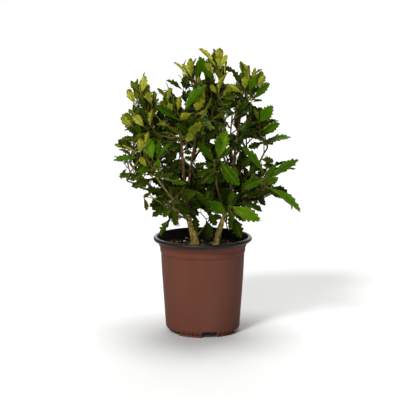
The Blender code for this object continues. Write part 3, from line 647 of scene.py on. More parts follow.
growth = {
    "golden": math.radians(137.5), "stemStep": 0.010, "stemLean": 0.30, "boughStep": 0.024,
    "flare": 0.08, "flareHeight": 0.012,
    "stemStation": 0.020, "shootRadius": (0.0018, 0.0013), "shootSegments": 2,
    "shootFirst": 0.22, "shootLast": 0.90, "shootUpturn": 0.25, "shootSwing": 0.8, "shootTries": 6,
    "twigEnd": 0.97, "room": 0.085, "spaceClearance": 0.0016, "limbClearance": 0.0007,
    "soilClearance": 0.003, "rimClearance": 0.008,
    # what is left to chance in a shoot's opening and reach, and how its reach falls toward the mass's top
    "vary": (0.8, 1.15), "longest": 1.15, "shorten": 0.35, "inWood": 0.2, "lead": 0.4,
}


def bentPath(start, control, tip, station):
    count = max(2, round((tip - start).length / station))
    shares = [i / count for i in range(count + 1)]
    return [start * (1 - t) ** 2 + control * 2 * t * (1 - t) + tip * t ** 2 for t in shares]


def along(path, share):
    place = share * (len(path) - 1)
    index = min(int(place), len(path) - 2)
    return path[index].lerp(path[index + 1], place - index)


def heading(path, share):
    place = min(int(share * (len(path) - 1)), len(path) - 2)
    return (path[place + 1] - path[place]).normalized()


# A turn for each station that carries +Z onto the path with no twist
def ringFrames(path):
    turn = Vector((0, 0, 1)).rotation_difference(heading(path, 0))
    last, turns = heading(path, 0), []
    for i in range(len(path)):
        here = (path[min(i + 1, len(path) - 1)] - path[max(i - 1, 0)]).normalized()
        turn = last.rotation_difference(here) @ turn
        turns.append(turn)
        last = here
    return turns


def taper(path, ends, flare=0.0):
    count = len(path) - 1
    radii = []
    for i, point in enumerate(path):
        radius = ends[0] + (ends[1] - ends[0]) * i / count
        rise = point.z - path[0].z
        radii.append(radius * (1 + flare * max(0.0, 1 - rise / growth["flareHeight"]) ** 2))
    return radii


def limbPaths():
    paths = {}
    for name, spec in stems.items():
        foot = Vector((*spec["foot"], mix["top"] + gap))
        tip = Vector(spec["tip"])
        control = Vector((foot.x + growth["stemLean"] * (tip.x - foot.x), foot.y, (foot.z + tip.z) / 2))
        path = bentPath(foot, control, tip, growth["stemStep"])
        paths[name] = (path, taper(path, spec["radius"], growth["flare"]))
    for name, spec in boughs.items():
        start = along(paths[spec["on"]][0], spec["at"])
        tip = Vector(spec["tip"])
        control = (start + tip) / 2 + Vector((0, 0, spec["bow"])) * (tip - start).length * 2
        path = bentPath(start, control, tip, growth["boughStep"])
        paths[name] = (path, taper(path, spec["radius"]))
    return paths


def massAxes(paths):
    return {name: (paths[spec["on"]][0][-1] + heading(paths[spec["on"]][0], 1) * gap, Vector(spec["to"]))
            for name, spec in masses.items()}


def massStem(bough, start, to):
    lead = heading(bough, 1)
    stem = bentPath(start, start + lead * (to - start).length * growth["lead"], to, growth["stemStation"])
    stem[1] = start + lead * (stem[1] - start).length
    return stem


# Rings of points along a path, for a tube with both ends closed
def tubePoints(path, radii, sides):
    rings = []
    for place, turn, radius in zip(path, ringFrames(path), radii):
        for k in range(sides):
            a = 2 * math.pi * k / sides
            rings.append(place + turn @ (Vector((math.sin(a), math.cos(a), 0)) * radius))
    return rings


def tubeFaces(count, sides):
    faces = []
    for i in range(count - 1):
        for k in range(sides):
            n = (k + 1) % sides
            faces.append((i * sides + k, (i + 1) * sides + k, (i + 1) * sides + n, i * sides + n))
    faces.append(tuple(range(sides)))
    faces.append(tuple((count - 1) * sides + k for k in reversed(range(sides))))
    return faces


# The limbs' surfaces with the clearance that twigs keep from them
def limbTree(paths):
    points, faces = [], []
    for path, radii in paths.values():
        shift = len(points)
        points += tubePoints(path, [r + growth["limbClearance"] for r in radii], 8)
        faces += [tuple(i + shift for i in f) for f in tubeFaces(len(path), 8)]
    return BVHTree.FromPolygons(points, faces)


def segmentDistance(point, start, end):
    run = end - start
    share = max(0.0, min(1.0, (point - start).dot(run) / run.length_squared))
    return (point - start - run * share).length


# True if every point is within the mass's room and nearer to its stem than to any other's
def inSpace(name, points, axes, room, clearance):
    start, end = axes[name]
    for point in points:
        own = segmentDistance(point, start, end)
        if own > room:
            return False
        for other, (a, b) in axes.items():
            if other != name and segmentDistance(point, a, b) < own + clearance:
                return False
    return True


# True if every point is within the crown's box and clear of the potting mix and the pot's rim
def clearOfPot(points):
    for p in points:
        if any(p[i] < crownLow[i] or p[i] > crownHigh[i] for i in range(3)):
            return False
        if p.z < mix["top"] + growth["soilClearance"]:
            return False
        inside = math.hypot(p.x, p.y) <= pot["collarRadius"] - growth["rimClearance"]
        if p.z < pot["height"] + growth["soilClearance"] and not inside:
            return False
    return True


def turnOut(axis, azimuth, opening):
    side = axis.orthogonal().normalized()
    side.rotate(Quaternion(axis, azimuth))
    return (axis * math.cos(opening) + side * math.sin(opening)).normalized()


# Shoots leave the stem at the golden angle and turn upward. One that finds no room is skipped
def growShoots(name, spec, stem, axes, limbs, rng):
    shoots = []
    azimuth = rng.uniform(0, 2 * math.pi)
    for i in range(spec["shoots"]):
        first, last = growth["shootFirst"], growth["shootLast"]
        share = first + (last - first) * (i + 0.5) / spec["shoots"]
        start, axis = along(stem, share), heading(stem, share)
        for attempt in range(growth["shootTries"]):
            opening = math.radians(spec["open"]) * rng.uniform(*growth["vary"])
            longest = growth["longest"] - growth["shorten"] * share
            reach = spec["reach"] * rng.uniform(*growth["vary"]) * longest
            out = turnOut(axis, azimuth + attempt * growth["shootSwing"], opening)
            tip = start + out * reach + Vector((0, 0, reach * growth["shootUpturn"]))
            path = bentPath(start, start + out * reach * 0.5, tip, reach / growth["shootSegments"])
            points = tubePoints(path, taper(path, growth["shootRadius"]), 3)
            outer = [p for p in points + path if (p - start).length > reach * growth["inWood"]]
            tree = BVHTree.FromPolygons(points, tubeFaces(len(path), 3))
            inRoom = inSpace(name, outer, axes, growth["room"], growth["spaceClearance"])
            if inRoom and clearOfPot(outer) and not tree.overlap(limbs):
                shoots.append(path)
                break
        azimuth += growth["golden"]
    return shoots


# Bark
bark = {
    "station": 0.0018, "stemSides": 22, "boughSides": 12, "stemSeed": 11, "boughSeed": 31, "buried": 0.004,
    "relief": 0.055, "grain": (260, 90), "fine": 2.7, "fineShare": 0.35,
    "knot": 0.16, "knotSpacing": 0.021, "knotLength": 0.0026, "knotReach": 0.008,
    # the boughs of another tone than brown: those of this year are still green
    "green": ("bough_left_front", "sucker", "bough_front_low_left", "bough_front_low_right",
              "bough_right_side", "bough_right_low"),
    "russet": ("bough_left_up", "bough_centre", "bough_left_low"),
}
# Each tone's colours by their place in the noise
barkColours = {
    "tan": [(0.34, (0.101, 0.057, 0.013)), (0.43, (0.386, 0.276, 0.072)),
            (0.60, (0.607, 0.478, 0.152)), (0.80, (0.773, 0.662, 0.276))],
    "russet": [(0.28, (0.064, 0.031, 0.009)), (0.50, (0.175, 0.098, 0.031)), (0.75, (0.313, 0.193, 0.074))],
    "brown": [(0.28, (0.029, 0.016, 0.005)), (0.50, (0.090, 0.052, 0.014)), (0.75, (0.189, 0.115, 0.037))],
    "young": [(0.28, (0.041, 0.033, 0.006)), (0.52, (0.110, 0.090, 0.011)), (0.78, (0.193, 0.161, 0.028))],
    "green": [(0.28, (0.074, 0.064, 0.009)), (0.52, (0.184, 0.175, 0.028)), (0.78, (0.276, 0.239, 0.064))],
    "twig": [(0.28, (0.036, 0.026, 0.004)), (0.52, (0.088, 0.076, 0.010)), (0.78, (0.150, 0.126, 0.022))],
}


# The same path with stations closer together, on a smooth curve through its points
def finePath(path, station):
    fine = []
    for i in range(len(path) - 1):
        before, a = path[max(i - 1, 0)], path[i]
        b, after = path[i + 1], path[min(i + 2, len(path) - 1)]
        steps = max(1, round((b - a).length / station))
        for s in range(steps):
            t = s / steps
            fine.append((a * 2 + (b - before) * t + (before * 2 - a * 5 + b * 4 - after) * t * t
                         + (a * 3 - before - b * 3 + after) * t ** 3) / 2)
    fine.append(path[-1].copy())
    return fine


# A limb with rough bark and swollen knots where leaves once sat
def barkTube(heap, path, ends, sides, seed, flare=0.0, level=None):
    rng = random.Random(seed)
    fine = finePath(path, bark["station"])
    radii = taper(fine, ends, flare)
    length = sum((b - a).length for a, b in zip(fine, fine[1:]))
    knots = [rng.uniform(0.6, 1.4) * bark["knotSpacing"]]
    while knots[-1] < length:
        knots.append(knots[-1] + rng.uniform(0.5, 1.5) * bark["knotSpacing"])
    sideOf = [rng.uniform(0, 2 * math.pi) for _ in knots]
    (about, up), fineShare, points, run = bark["grain"], bark["fineShare"], [], 0.0
    for i, (place, turn, radius) in enumerate(zip(fine, ringFrames(fine), radii)):
        if i:
            run += (place - fine[i - 1]).length
        near = [(at, way) for at, way in zip(knots, sideOf) if abs(run - at) < bark["knotReach"]]
        for k in range(sides):
            a = 2 * math.pi * k / sides
            spot = Vector((math.cos(a) * radius * about, math.sin(a) * radius * about, run * up))
            spot += Vector((seed, 0, 0))
            rough = noise.noise(spot) * (1 - fineShare) + noise.noise(spot * bark["fine"]) * fineShare
            swell = sum(bark["knot"] * math.exp(-((run - at) / bark["knotLength"]) ** 2)
                        * (0.35 + 0.65 * max(0.0, math.cos(a - way))) for at, way in near)
            r = radius * (1 + bark["relief"] * rough * 2 + swell)
            point = place + turn @ (Vector((math.sin(a), math.cos(a), 0)) * r)
            if level is not None and i == 0:
                point.z = level
            points.append(point)
    heap.add([tuple(p) for p in points], tubeFaces(len(fine), sides), 0)


def makeBark(paths):
    stemHeap, heaps = Heap(), {"brown": Heap(), "green": Heap(), "russet": Heap()}
    toneOf = {name: tone for tone in ("green", "russet") for name in bark[tone]}
    for n, (name, spec) in enumerate(stems.items()):
        barkTube(stemHeap, paths[name][0], spec["radius"], bark["stemSides"], bark["stemSeed"] + n,
                 growth["flare"], mix["top"] - bark["buried"])
    for n, (name, spec) in enumerate(boughs.items()):
        heap = heaps[toneOf.get(name, "brown")]
        barkTube(heap, paths[name][0], spec["radius"], bark["boughSides"], bark["boughSeed"] + n)
    stemHeap.piece("stem_bark", [barkFinish("tan bark", "tan")], "bark", list(stems))
    for tone, heap in heaps.items():
        inTone = [n for n in boughs if toneOf.get(n, "brown") == tone]
        heap.piece(tone + "_bark", [barkFinish(tone + " bark", tone)], "bark", inTone)


def barkFinish(name, tone):
    material = newFinish(name, barkColours[tone][1][1], 0.66, 0.22)
    patches = addNoise(material, 240, 5, (1, 1, 0.45))
    rampColours(material, patches, barkColours[tone])
    addBump(material, [patches, addNoise(material, 1100, 4)], 0.5, 0.0005)
    return material


# Leaves
leafKinds = {
    "young": {"width": 0.30, "widest": 0.58, "teeth": (0.68, 0.83), "tooth": 0.20, "scallop": 0.06,
              "fold": 0.34, "arch": (-0.35, 0.50), "wave": 0.05, "petiole": 0.09},
    "bright": {"width": 0.31, "widest": 0.54, "teeth": (0.50, 0.65, 0.79, 0.90), "tooth": 0.26,
               "scallop": 0.10, "fold": 0.28, "arch": (0.10, 0.80), "wave": 0.10, "petiole": 0.08},
    "dark": {"width": 0.31, "widest": 0.54, "teeth": (0.42, 0.60, 0.78), "tooth": 0.42, "scallop": 0.15,
             "fold": 0.28, "arch": (0.20, 1.10), "wave": 0.16, "petiole": 0.08},
}
# The joined pieces of leaves and their kinds: there are so many dark ones that they are split at a depth
leafPieces = {"young": "young", "bright": "bright", "front_dark": "dark", "back_dark": "dark"}
leafBuild = {
    "darkSplit": 0.0, "shapes": 7, "seed": 41, "bend": 0.10, "twist": 0.35, "foldVary": (0.5, 1.5),
    "widthVary": (0.90, 1.10), "firstTooth": 0.24, "pastTooth": 0.015, "spineForward": 0.045,
    "ripples": 23, "cup": 0.10, "petioleSides": 5,
    # in metres, on a leaf of the usual length
    "usual": 0.06, "thickness": 0.00032, "rib": 0.0009, "ribRise": 0.00025, "petioleRadius": 0.0007,
}


# One leaf of unit length in its own space: x across, y along from its petiole's root, z up from its top
def leafShape(kind, rng):
    k, build = leafKinds[kind], leafBuild
    rows, hollows, last = [0.0, 0.09, 0.20], set(), build["firstTooth"]
    for tooth in k["teeth"]:  # a scalloped hollow before each tooth
        hollow = float(np.linspace(last, tooth, 3)[1])
        hollows.add(hollow)
        rows += [hollow, tooth]
        last = tooth + build["pastTooth"]
    rows += [t for t in (0.32, 0.45, 0.56) if t < k["teeth"][0] - 0.05] + [0.94]
    rows = sorted(set(round(r, 4) for r in rows))
    arch = rng.uniform(*k["arch"])
    bend = rng.uniform(-build["bend"], build["bend"])
    twist = rng.uniform(-build["twist"], build["twist"])
    fold = k["fold"] * rng.uniform(*build["foldVary"])
    phase = rng.uniform(0, 2 * math.pi)
    width = k["width"] * rng.uniform(*build["widthVary"]) / 2
    petiole = k["petiole"]
    blade = 1 - petiole
    points, uv = [], []

    # Bends a point of the flat leaf along its arch, with its twist and sideways bend
    def place(x, t, z):
        angle, turn = -arch * t, twist * t
        x, z = x * math.cos(turn) - z * math.sin(turn), x * math.sin(turn) + z * math.cos(turn)
        if abs(arch) > 0.01:
            out = petiole + blade * math.sin(arch * t) / arch
            up = -blade * (1 - math.cos(arch * t)) / arch
        else:
            out, up = petiole + t * blade, 0.0
        out -= z * math.sin(angle)
        up += z * math.cos(angle)
        return (x + bend * t * t * blade, out, up)

    thick, rib, rise, stalk = (build[size] / build["usual"]
                               for size in ("thickness", "rib", "ribRise", "petioleRadius"))
    power = math.log(0.5) / math.log(k["widest"])
    firstTooth = k["teeth"][0]
    for under in (False, True):
        for t in rows:
            half = width * math.sin(math.pi * max(t, 0.012) ** power) ** (0.95 if t < k["widest"] else 1.18)
            edge, forward = half * (1 - k["scallop"] if t in hollows else 1), 0.0
            if t in k["teeth"]:
                edge = half + width * k["tooth"] * (1 - 0.75 * (t - firstTooth) / (1 - firstTooth))
                forward = build["spineForward"]
            narrow = rib * (1 - 0.7 * t)
            wave = k["wave"] * width * math.sin(t * build["ripples"] + phase)
            for x in (-edge, -half * 0.52, -narrow, narrow, half * 0.52, edge):
                margin, onRib = abs(x) == edge, abs(x) == narrow
                z = fold * abs(x)
                if margin:
                    z += wave * (1 if x < 0 else -1)
                else:
                    z += -build["cup"] * width * math.sin(math.pi * min(1.0, abs(x) / max(half, 0.001)))
                    z -= thick if under else 0.0
                if onRib:
                    z -= rise * (2 if under else 0.4)
                points.append(place(x, min(t + (forward if margin else 0.0), 0.995), z))
                uv.append((0.5 + x / (2 * width * 1.3), t))
    tip = len(points)
    points.append(place(0.0, 1.0, 0.0))
    uv.append((0.5, 1.0))
    count, layerSize = len(rows), len(rows) * 6
    faces, part = [], []
    for layer in (0, 1):
        last = layer * layerSize + (count - 1) * 6
        ends = [(last + c, last + c + 1, tip) for c in range(5)]
        quads = [(a + c, a + c + 1, a + c + 7, a + c + 6)
                 for a in range(layer * layerSize, last, 6) for c in range(5)]
        faces += [face[::-1] if layer else face for face in quads + ends]
        part += [2 if c == 2 else layer for _ in range(count) for c in range(5)]
    for i in range(count - 1):  # the two margins join the upper and the lower side
        for c, flip in ((0, False), (5, True)):
            a, b = i * 6 + c, (i + 1) * 6 + c
            quad = (a, b, b + layerSize, a + layerSize)
            faces.append(quad[::-1] if flip else quad)
            part.append(1)
    sides, start = build["petioleSides"], len(points)
    for y, r, z in ((0.0, stalk * 1.25, -0.002), (petiole * 0.55, stalk, -0.004),
                    (petiole + blade * 0.06, stalk * 0.85, -0.006)):
        for s in range(sides):
            a = 2 * math.pi * s / sides
            points.append((r * math.cos(a), y, z + r * math.sin(a)))
            uv.append((0.5, 0.0))
    for a in (start, start + sides):
        faces += [(a + s, a + (s + 1) % sides, a + sides + (s + 1) % sides, a + sides + s)
                  for s in range(sides)]
    faces.append(tuple(start + s for s in reversed(range(sides))))
    faces.append(tuple(start + 2 * sides + s for s in range(sides)))
    part += [2] * (2 * sides + 2)
    widest = min(range(count), key=lambda i: abs(rows[i] - k["widest"])) * 6
    beforeTip = (count - 2) * 6
    checks = [i * 6 + 2 for i in range(0, count, max(1, count // 5))]
    checks += [widest, widest + 5, tip, beforeTip, beforeTip + 5]
    return {"points": np.array(points), "faces": faces, "part": part, "uv": np.array(uv), "tip": tip,
            "arch": arch, "proxy": [2, widest, widest + 5, tip, widest + 2], "checks": checks}


def leafShapes():
    rng = random.Random(leafBuild["seed"])
    return {kind: [leafShape(kind, rng) for _ in range(leafBuild["shapes"])] for kind in leafKinds}


# How twigs are dressed with leaves: shares of a twig's length, metres and degrees
leafing = {
    "stemBare": 0.30, "shootBare": 0.20, "count": 8,
    "twigletLeaves": 5, "twigletReach": 0.50, "twigletShares": (0.18, 0.38, 0.58, 0.78), "twigletOpen": 48,
    "twigletBare": 0.3, "twigletRadius": (0.0012, 0.0009), "twigStation": 0.004, "twigSides": 6,
    "stemSides": 8, "stemSeat": 0.002, "stemShare": 0.94, "uneven": 0.10,
    "spread": (74, 22), "gather": 0.75, "swing": 0.35, "shrink": 0.04, "tries": 9, "seat": 0.0012,
    # the longest leaf against the mass's length, its loss away from its place on the twig, and that place
    "sizes": (1.10, 0.30, 0.35), "sizeVary": (0.86, 1.14), "vary": (0.8, 1.2),
    "slack": -0.010, "room": 0.098, "near": 0.085, "seedShift": 5000,
    # the crown's middle and reach, and the share of the reach past which new leaves grow; inside it all
    # leaves are dark, partly as old leaves and partly as painted shade
    "middle": (0.0, 0.0, 0.40), "reach": (0.20, 0.18, 0.23), "newGrowthAndShade": 0.80,
}
# The photograph's view as fitted to the pot: pixels, radians and millimetres
photo = {"middle": 200, "right": 2.75, "focal": 1357.0, "pitch": 0.16550, "away": 3000.0, "height": 799.1}
# Where light comes through the crown from the front, picked in the photograph's pixels: the middle of
# each opening, then half its width and half its height
skyGaps = {
    "between the left and the top": [(177, 90.5, 4.5, 4.8), (189.5, 90, 2, 2.5), (185.3, 99, 1.2, 3),
        (170, 71, 8, 6), (162, 86, 5, 4), (148, 79, 4, 2.5), (159.5, 96.5, 3.4, 3.2), (180.5, 71, 2.5, 3),
        (152.5, 83, 3.5, 6), (177, 58, 6, 3), (181, 55.6, 4.5, 3), (174, 79, 8, 3), (157, 70, 11, 8),
        (156.5, 83, 4, 6), (190, 83, 2, 3)],
    "at the top": [(194.5, 77, 1.5, 3), (203, 77, 2, 3.5), (207, 88, 1.5, 2), (216, 80, 2.5, 3),
        (232, 78, 5.2, 5.2), (227, 80, 3.5, 4.5), (231, 53, 6, 4), (232, 62, 5, 5), (249, 92, 1.5, 3),
        (258, 66, 4, 3), (247, 60, 4, 4.5), (268, 73, 4, 5), (189, 52.5, 8, 3.5), (197, 66, 1.2, 5),
        (205, 53, 4, 3), (237, 69, 2, 7), (237, 60.4, 3.4, 4), (252, 68, 1.5, 5), (270, 78, 5, 3),
        (278, 81, 6, 4)],
    "upper right": [(232.5, 127, 4, 5.5), (232, 118, 3.5, 3), (233, 110, 3, 2), (230, 110, 1, 2),
        (244, 118.5, 3.5, 4.5), (259, 104, 5, 2.5), (213.5, 132.5, 3, 2), (212.5, 142.5, 1.8, 3),
        (262, 92, 4, 6), (267, 100, 5, 4)],
    "right": [(250.5, 141.6, 7.6, 3.4), (242.5, 149, 1.5, 4), (255.8, 152.5, 4.2, 4.6),
        (243.5, 177, 1.2, 1.8), (277, 130, 7, 3), (275, 150, 9, 5), (283, 155, 9, 3), (284, 176, 8, 6),
        (286, 121, 6, 3), (285, 186, 7, 3), (276, 114, 7, 5), (244.5, 144.6, 3, 3), (276, 159, 8, 3.5),
        (273, 134.5, 5, 2.5), (245, 223.5, 4.5, 4), (275.5, 184, 3, 2.5), (284.5, 144, 4.5, 2.2),
        (269.5, 195.5, 3.2, 2), (270.5, 196, 3, 2.5), (252, 209, 5, 2.5)],
    "middle": [(201, 156, 3.5, 3.5), (188, 154, 1.6, 2.2), (187.5, 178, 1.2, 3)],
    "left": [(175.5, 152.4, 1.4, 1.4), (177, 162, 1.6, 1.4), (178.5, 173, 1, 2.5), (134, 145.5, 1.8, 4),
        (154.5, 131, 1, 2), (143, 173, 2, 1.5), (156.5, 184, 2.5, 2), (117, 119, 5, 4), (124, 105, 5, 3),
        (120, 138, 4, 2), (121, 154, 6, 2), (120, 167, 6, 4), (131, 167, 2.6, 3.6), (127, 186, 4, 6),
        (137, 193, 3, 5), (133, 77, 3, 3), (116, 110, 5, 4), (116, 129, 5, 3), (113, 166, 4, 3),
        (124, 97, 3, 5), (126, 82.4, 4.4, 4), (137.4, 74, 2.4, 4), (123, 90, 3, 3.5), (113, 138, 4.5, 6),
        (113, 150, 4, 4), (121, 132, 3, 3), (129, 133.5, 3, 2.5), (118, 125.5, 4.5, 2.5),
        (129.5, 105, 2.5, 6), (115, 175, 3, 2.5), (122, 182, 7, 2)],
    "low left": [(147, 202, 1.2, 3.5), (166, 213, 1.8, 2.5), (149, 216, 6, 5), (183, 221.2, 4.2, 3.2),
        (171, 224.8, 3.4, 1.6), (160, 222, 4, 5), (161.5, 214, 4, 3.4), (171, 232, 5, 5)],
    "between the stems": [(194.6, 209.6, 3, 1), (202, 214.6, 2.4, 2.8), (215.5, 222, 1.8, 2.5),
        (221, 216, 1.2, 2.5), (203, 219, 2.2, 2.6)],
    "low right": [(229.5, 221, 2, 4), (256, 226, 8, 4), (274, 205, 9, 7), (256, 213, 4, 3), (288, 214, 5, 6),
        (264, 211, 5, 5), (184, 232, 6, 8)],
}

# The bare stretches of the limbs that show from the front, as shares of their length
bareWood = {
    "stem_left": (0.0, 0.75), "stem_right": (0.0, 0.85), "sucker": (0.2, 1.0),
    "bough_left_up": (0.40, 0.80), "bough_left_low": (0.55, 0.90), "bough_left_front": (0.15, 0.95),
    "bough_centre": (0.35, 0.72), "bough_right_up": (0.25, 0.95), "bough_right_side": (0.70, 1.0),
}
